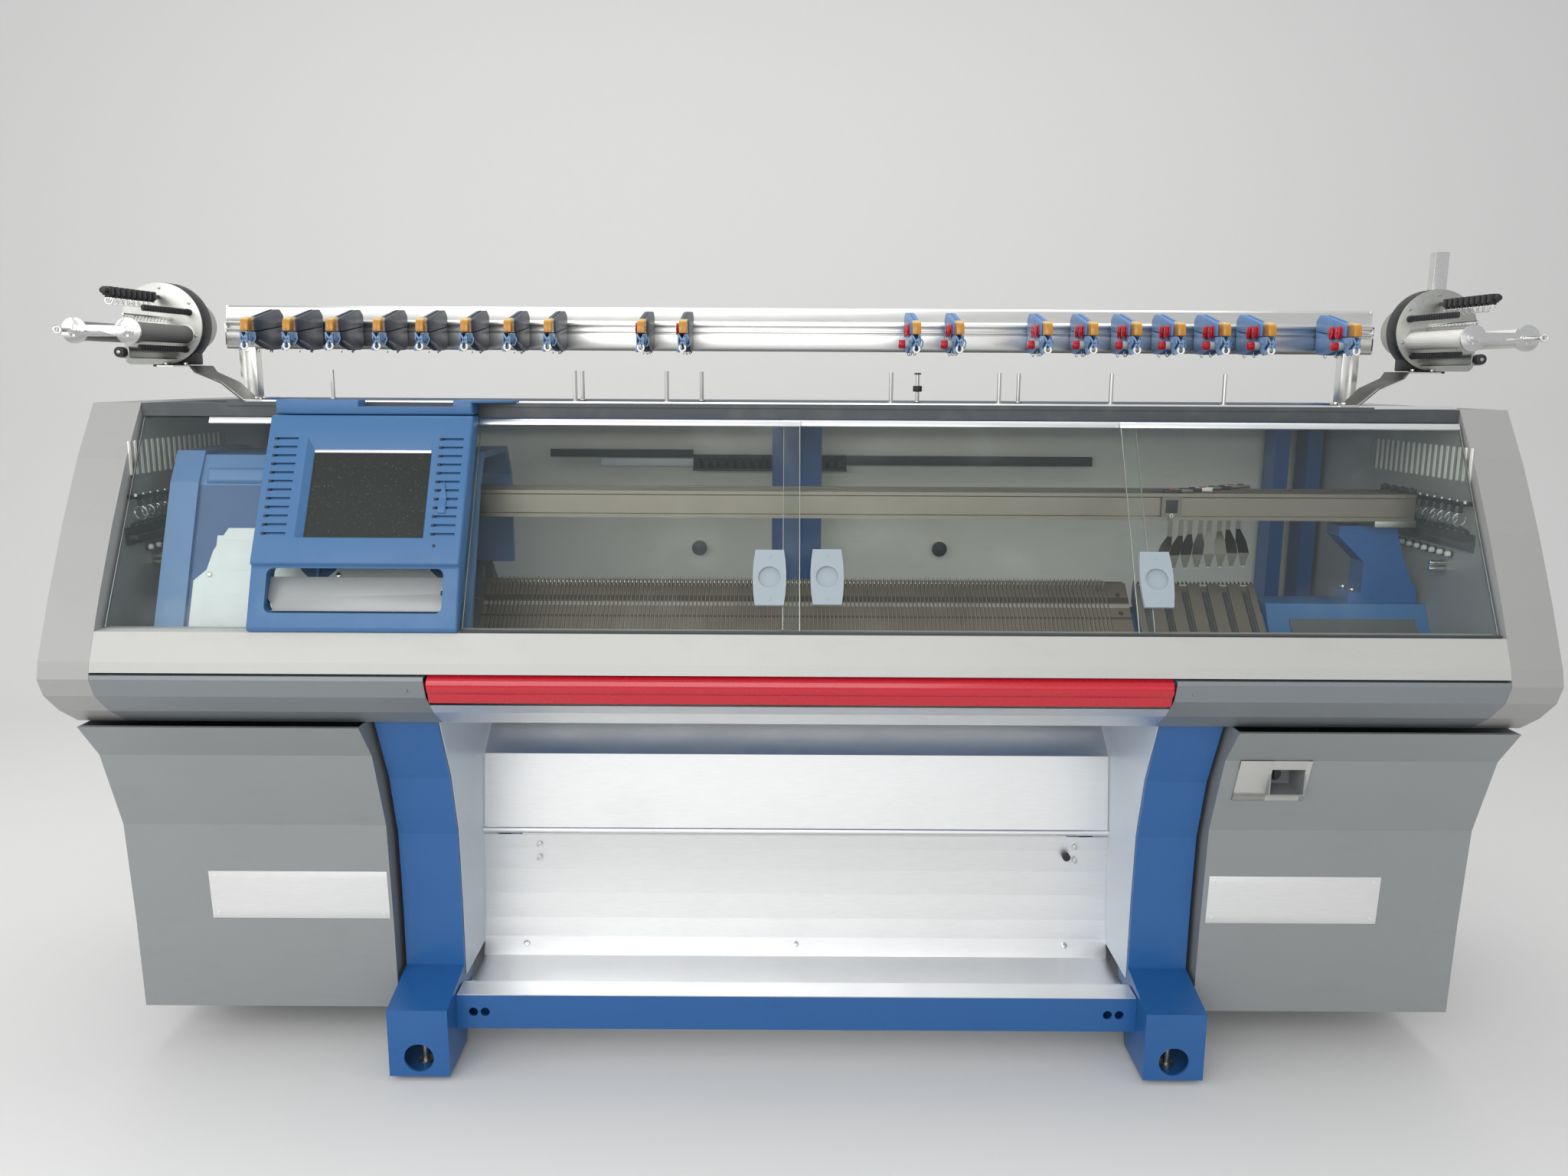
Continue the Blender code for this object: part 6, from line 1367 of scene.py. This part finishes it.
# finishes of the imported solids

CAD_FINISHES = (
    ("leg_blue", "leg_ rear_frame front_cross_beam rear_uprights rail_support"),
    ("casting", "bed_frame"),
    ("bed", "front_needle_bed rear_needle_bed"),
    ("zinc", "levelling_foot"),
    ("rail_metal", "yarn_guide_rails"),
    ("blade", "yarn_guide_"),
    ("carriage_blue", "carriage_cover"),
    ("dark_grey", "carriage_bow"),
    ("silver", "end_cover"),
    ("sill", "front_sill"),
    ("fascia", "front_fascia"),
    ("red", "engaging_bar"),
    ("brushed", "lower_front_rail takedown"),
    ("tray", "document_tray"),
    ("deck", "top_deck"),
    ("glass", "fixed_window door_left door_middle door_right"),
    ("handle", "door_handle"),
    ("panel_blue", "operator_panel"),
    ("screen", "panel_screen"),
    ("cabinet", "cabinet_"),
    ("black", "main_switch"),
    ("rear_wall", "rear_cover"),
    ("liner", "bay_liner"),
    ("beam", "yarn_beam"),
    ("zinc", "feeder_"),
    ("grey_roll", "feed_roll_left"),
    ("white", "feed_roll_right"),
)


def finish_solids():
    """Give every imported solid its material; the longest matching name decides."""
    for name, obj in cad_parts.items():
        found = [(len(start), key) for key, starts in CAD_FINISHES for start in starts.split()
                 if name.startswith(start)]
        material = finish_of(max(found)[1])
        for slot in obj.material_slots:
            slot.material = material


# studio

def camera():
    """The photograph's viewing place and lens."""
    data = bpy.data.cameras.new("camera")
    data.sensor_width = 36
    data.lens = 27.05
    view = bpy.data.objects.new("camera", data)
    view.matrix_world = (Matrix.Translation((-0.03, -2.51, 1.405))
                         @ Matrix.Rotation(math.radians(90 - 10.25), 4, "X")
                         @ Matrix.Rotation(math.radians(0.315), 4, "Z"))
    bpy.context.scene.collection.objects.link(view)
    bpy.context.scene.camera = view


def lamp(name, place, aim, width, height, power):
    data = bpy.data.lights.new(name, "AREA")
    data.shape, data.size, data.size_y, data.energy = "RECTANGLE", width, height, power
    obj = bpy.data.objects.new(name, data)
    obj.location = place
    obj.rotation_euler = (Vector(aim) - Vector(place)).to_track_quat("-Z", "Y").to_euler()
    bpy.context.scene.collection.objects.link(obj)


def studio_paint(name, code):
    """A pale matt paint for the floor and the backdrop."""
    finish = Finish(name)
    grain = finish.noise(30, 3.0)
    colour = finish.mix(grain, linear(code), shade(linear(code), 1.02))
    finish.set(Base_Color=colour, Roughness=0.9)
    return finish.material


def stage():
    """Pale floor and curved backdrop, soft lamps and an even world."""
    fresh()
    front, wall, bend, top, sheet, half = -7.0, 3.4, 1.2, 6.0, 0.02, 9
    path = [(front, 0.0), (wall - bend, 0.0)]
    path += [(wall - bend + bend * math.sin(a), bend - bend * math.cos(a))
             for a in (i * math.pi / 24 for i in range(1, 13))]
    path += [(wall, top)]
    outline = path + [(y + sheet, z - sheet) for y, z in reversed(path)]
    floor = profile("studio_floor", outline, -half, half)
    floor.data.materials.append(studio_paint("studio_paint", "dcdcda"))
    smooth(floor, 40)
    lamp("front_soft", (-1.2, -4.2, 2.8), (0, 0, 0.95), 4.5, 2.5, 106)
    lamp("side_soft", (-4.2, -1.8, 2.4), (0, 0, 0.9), 2.5, 2.5, 32)
    lamp("low_soft", (0.4, -4.4, 1.5), (0, 0.2, 1.1), 4.0, 1.2, 7)
    lamp("top_soft", (0, 0.4, 4.2), (0, 0, 0.8), 5.0, 3.0, 74)
    world = bpy.data.worlds.new("world")
    world.use_nodes = True
    bpy.context.scene.world = world
    back = world.node_tree.nodes["Background"]
    back.inputs["Color"].default_value = (0.97, 0.98, 1.0, 1)
    back.inputs["Strength"].default_value = 0.62
    bpy.context.scene.view_settings.view_transform = "Standard"


# settings, operators and panel

def colour(label, where, code):
    """A colour setting with its name, what it covers and its first value."""
    return bpy.props.FloatVectorProperty(name=label, description=where, subtype="COLOR", size=3, min=0, max=1,
                                         default=linear(code))


class MachineSizes(bpy.types.PropertyGroup):
    """Sizes and counts that a user may change."""

    needles: bpy.props.IntProperty(name="Needles", description="Needles in each bed", default=150, min=2,
                                   max=150)
    needle_width: bpy.props.FloatProperty(name="Needle width", description="Thickness of a needle's stem",
                                          default=0.0018, min=0.0008, max=0.003, unit="LENGTH",
                                          subtype="DISTANCE")
    tooth_width: bpy.props.FloatProperty(name="Comb tooth", description="Thickness of a comb tooth",
                                         default=0.0014, min=0.0006, max=0.003, unit="LENGTH",
                                         subtype="DISTANCE")
    wire: bpy.props.FloatProperty(name="Hook wire", description="Thickness of the wires under the yarn units",
                                  default=0.0016, min=0.0008, max=0.003, unit="LENGTH", subtype="DISTANCE")
    screw: bpy.props.FloatProperty(name="Screw heads", description="Width of the screw heads on the panels",
                                   default=0.012, min=0.006, max=0.016, unit="LENGTH", subtype="DISTANCE")
    drum_ribs: bpy.props.IntProperty(name="Drum ribs", description="Cooling ribs round each feeder drum",
                                     default=20, min=4, max=40)


class MachineLooks(bpy.types.PropertyGroup):
    """Colours that a user may change."""

    silver: colour("End covers", "Paint of the two end covers", "9d9d9b")
    cabinet: colour("Cabinets", "Paint of the two side cabinets", "8f9293")
    sill: colour("Sill", "Paint of the sill under the windows", "b4b4b0")
    fascia: colour("Fascias", "Paint of the front covers beside the bar", "7e8387")
    frame_blue: colour("Frame", "Enamel of the legs, the cross beam and the posts", "205b98")
    panel_blue: colour("Panel", "Plastic of the control panel", "386592")
    carriage_blue: colour("Carriage", "Plastic of the carriage cover", "5a80ad")
    bar_red: colour("Bar", "Paint of the engaging bar", "bb0a24")


class MACHINE_OT_camera(bpy.types.Operator):
    """The view that matches the front of the machine"""

    bl_idname = "machine.camera"
    bl_label = "Camera"

    def execute(self, context):
        camera()
        return {"FINISHED"}


class MACHINE_OT_studio(bpy.types.Operator):
    """Pale floor, backdrop, lamps and even world"""

    bl_idname = "machine.studio"
    bl_label = "Studio"

    def execute(self, context):
        stage()
        return {"FINISHED"}


class MACHINE_OT_solids(bpy.types.Operator):
    """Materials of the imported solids"""

    bl_idname = "machine.solids"
    bl_label = "Finishes"

    def execute(self, context):
        finish_solids()
        return {"FINISHED"}


class MACHINE_OT_beam(bpy.types.Operator):
    """The extruded beam with its end plates and posts"""

    bl_idname = "machine.beam"
    bl_label = "Yarn beam"

    def execute(self, context):
        yarn_beam()
        return {"FINISHED"}


class MACHINE_OT_units(bpy.types.Operator):
    """The nineteen control units along the beam"""

    bl_idname = "machine.units"
    bl_label = "Yarn units"

    def execute(self, context):
        control_units()
        return {"FINISHED"}


class MACHINE_OT_feeder_drums(bpy.types.Operator):
    """Housings and face plates of both feeders"""

    bl_idname = "machine.feeder_drums"
    bl_label = "Feeder drums"

    def execute(self, context):
        for side in WORDS:
            feeder_drum(side)
            feeder_plate(side)
        return {"FINISHED"}


class MACHINE_OT_feeder_rolls(bpy.types.Operator):
    """Links, clamps and ribbed bars of both feeders"""

    bl_idname = "machine.feeder_rolls"
    bl_label = "Feeder rolls"

    def execute(self, context):
        for side in WORDS:
            feeder_link(side)
            feeder_comb(side)
            feeder_strips(side)
        return {"FINISHED"}


class MACHINE_OT_feeder_arms(bpy.types.Operator):
    """The folded sheets under the feeders, and the open channel"""

    bl_idname = "machine.feeder_arms"
    bl_label = "Feeder arms"

    def execute(self, context):
        for side in WORDS:
            feeder_arm(side)
        feeder_channel()
        return {"FINISHED"}


class MACHINE_OT_panel(bpy.types.Operator):
    """The panel's housing with its sunk screen field and vents"""

    bl_idname = "machine.panel"
    bl_label = "Control panel"

    def execute(self, context):
        panel_shell()
        return {"FINISHED"}


class MACHINE_OT_panel_details(bpy.types.Operator):
    """Vent studs, screen seal, strip and wedge"""

    bl_idname = "machine.panel_details"
    bl_label = "Panel details"

    def execute(self, context):
        panel_details()
        return {"FINISHED"}


class MACHINE_OT_panel_trays(bpy.types.Operator):
    """The tray on the panel's head and the sheet for papers"""

    bl_idname = "machine.panel_trays"
    bl_label = "Panel trays"

    def execute(self, context):
        panel_top_tray()
        document_sheet()
        return {"FINISHED"}


class MACHINE_OT_windows(bpy.types.Operator):
    """Edges and bright heads of the four panes"""

    bl_idname = "machine.windows"
    bl_label = "Window trims"

    def execute(self, context):
        window_trims()
        return {"FINISHED"}


class MACHINE_OT_pulls(bpy.types.Operator):
    """Dish rims and screws of the three pulls"""

    bl_idname = "machine.pulls"
    bl_label = "Window pulls"

    def execute(self, context):
        handle_rims()
        return {"FINISHED"}


class MACHINE_OT_window_rails(bpy.types.Operator):
    """The sill's gutter and the rails over the glass"""

    bl_idname = "machine.window_rails"
    bl_label = "Window rails"

    def execute(self, context):
        window_rails()
        return {"FINISHED"}


class MACHINE_OT_deck(bpy.types.Operator):
    """Collars, knob and nut of the deck's pins"""

    bl_idname = "machine.deck"
    bl_label = "Deck pins"

    def execute(self, context):
        deck_pins()
        return {"FINISHED"}


class MACHINE_OT_needles(bpy.types.Operator):
    """Latch needles in both beds"""

    bl_idname = "machine.needles"
    bl_label = "Needles"

    def execute(self, context):
        needles()
        return {"FINISHED"}


class MACHINE_OT_combs(bpy.types.Operator):
    """Comb teeth and end screws of both beds"""

    bl_idname = "machine.combs"
    bl_label = "Combs"

    def execute(self, context):
        comb_teeth()
        bed_trims()
        return {"FINISHED"}


class MACHINE_OT_clamps(bpy.types.Operator):
    """Serrated edges and lanes over the yarn clamps"""

    bl_idname = "machine.clamps"
    bl_label = "Yarn clamps"

    def execute(self, context):
        clamp_combs()
        return {"FINISHED"}


class MACHINE_OT_guides(bpy.types.Operator):
    """Shoes, flags and eyelets of the eight guides"""

    bl_idname = "machine.guides"
    bl_label = "Yarn guides"

    def execute(self, context):
        guide_shoes()
        return {"FINISHED"}


class MACHINE_OT_stops(bpy.types.Operator):
    """Clamp blocks at the ends of the guide rails"""

    bl_idname = "machine.stops"
    bl_label = "Rail stops"

    def execute(self, context):
        rail_stops()
        return {"FINISHED"}


class MACHINE_OT_carriage(bpy.types.Operator):
    """Painted shade sheet, head plate, pads and screws of the carriage cover"""

    bl_idname = "machine.carriage"
    bl_label = "Carriage"

    def execute(self, context):
        carriage_dress()
        return {"FINISHED"}


class MACHINE_OT_walls(bpy.types.Operator):
    """Slot linings, rings and beads on the end walls"""

    bl_idname = "machine.walls"
    bl_label = "End walls"

    def execute(self, context):
        wall_slots()
        return {"FINISHED"}


class MACHINE_OT_rear_wall(bpy.types.Operator):
    """Plugs, strip, tray and cable chain on the rear wall"""

    bl_idname = "machine.rear_wall"
    bl_label = "Rear wall"

    def execute(self, context):
        rear_wall_fittings()
        return {"FINISHED"}


class MACHINE_OT_blocks(bpy.types.Operator):
    """Sponge strips, plates and bolts of the end blocks"""

    bl_idname = "machine.blocks"
    bl_label = "End blocks"

    def execute(self, context):
        block_fittings()
        return {"FINISHED"}


class MACHINE_OT_plates(bpy.types.Operator):
    """The bare plates low on both cabinets"""

    bl_idname = "machine.plates"
    bl_label = "Plates"

    def execute(self, context):
        nameplates()
        return {"FINISHED"}


class MACHINE_OT_port(bpy.types.Operator):
    """The pale frame round the switch port, and the grip"""

    bl_idname = "machine.port"
    bl_label = "Switch port"

    def execute(self, context):
        switch_recess()
        return {"FINISHED"}


class MACHINE_OT_takedown(bpy.types.Operator):
    """Screws and latch of the take-down panel"""

    bl_idname = "machine.takedown"
    bl_label = "Take-down"

    def execute(self, context):
        takedown_fittings()
        return {"FINISHED"}


class MACHINE_OT_feet(bpy.types.Operator):
    """Lock nuts of the levelling feet"""

    bl_idname = "machine.feet"
    bl_label = "Feet"

    def execute(self, context):
        foot_details()
        return {"FINISHED"}


OPERATORS = (
    MACHINE_OT_camera, MACHINE_OT_studio, MACHINE_OT_solids, MACHINE_OT_beam, MACHINE_OT_units,
    MACHINE_OT_feeder_drums, MACHINE_OT_feeder_rolls, MACHINE_OT_feeder_arms, MACHINE_OT_panel,
    MACHINE_OT_panel_details, MACHINE_OT_panel_trays, MACHINE_OT_windows, MACHINE_OT_pulls,
    MACHINE_OT_window_rails, MACHINE_OT_deck, MACHINE_OT_needles, MACHINE_OT_combs, MACHINE_OT_clamps,
    MACHINE_OT_guides, MACHINE_OT_stops, MACHINE_OT_carriage, MACHINE_OT_walls, MACHINE_OT_rear_wall,
    MACHINE_OT_blocks, MACHINE_OT_plates, MACHINE_OT_port, MACHINE_OT_takedown, MACHINE_OT_feet,
)


class MACHINE_PT_panel(bpy.types.Panel):
    """Builds the machine's pieces"""

    bl_idname = "MACHINE_PT_panel"
    bl_label = "Knitting machine"
    bl_space_type = "VIEW_3D"
    bl_region_type = "UI"
    bl_category = "Knitting"

    def draw(self, context):
        for settings in (context.scene.machine_sizes, context.scene.machine_looks):
            for key in settings.bl_rna.properties.keys():
                if key not in ("rna_type", "name"):
                    self.layout.prop(settings, key)
        for made in OPERATORS:
            self.layout.operator(made.bl_idname)


CLASSES = (MachineSizes, MachineLooks, *OPERATORS, MACHINE_PT_panel)


def register():
    for made in CLASSES:
        bpy.utils.register_class(made)
    bpy.types.Scene.machine_sizes = bpy.props.PointerProperty(type=MachineSizes)
    bpy.types.Scene.machine_looks = bpy.props.PointerProperty(type=MachineLooks)


def unregister():
    del bpy.types.Scene.machine_looks
    del bpy.types.Scene.machine_sizes
    for made in reversed(CLASSES):
        bpy.utils.unregister_class(made)


def main():
    register()
    for made in OPERATORS:
        getattr(bpy.ops.machine, made.bl_idname.split(".")[1])()


if __name__ == "__main__":
    main()
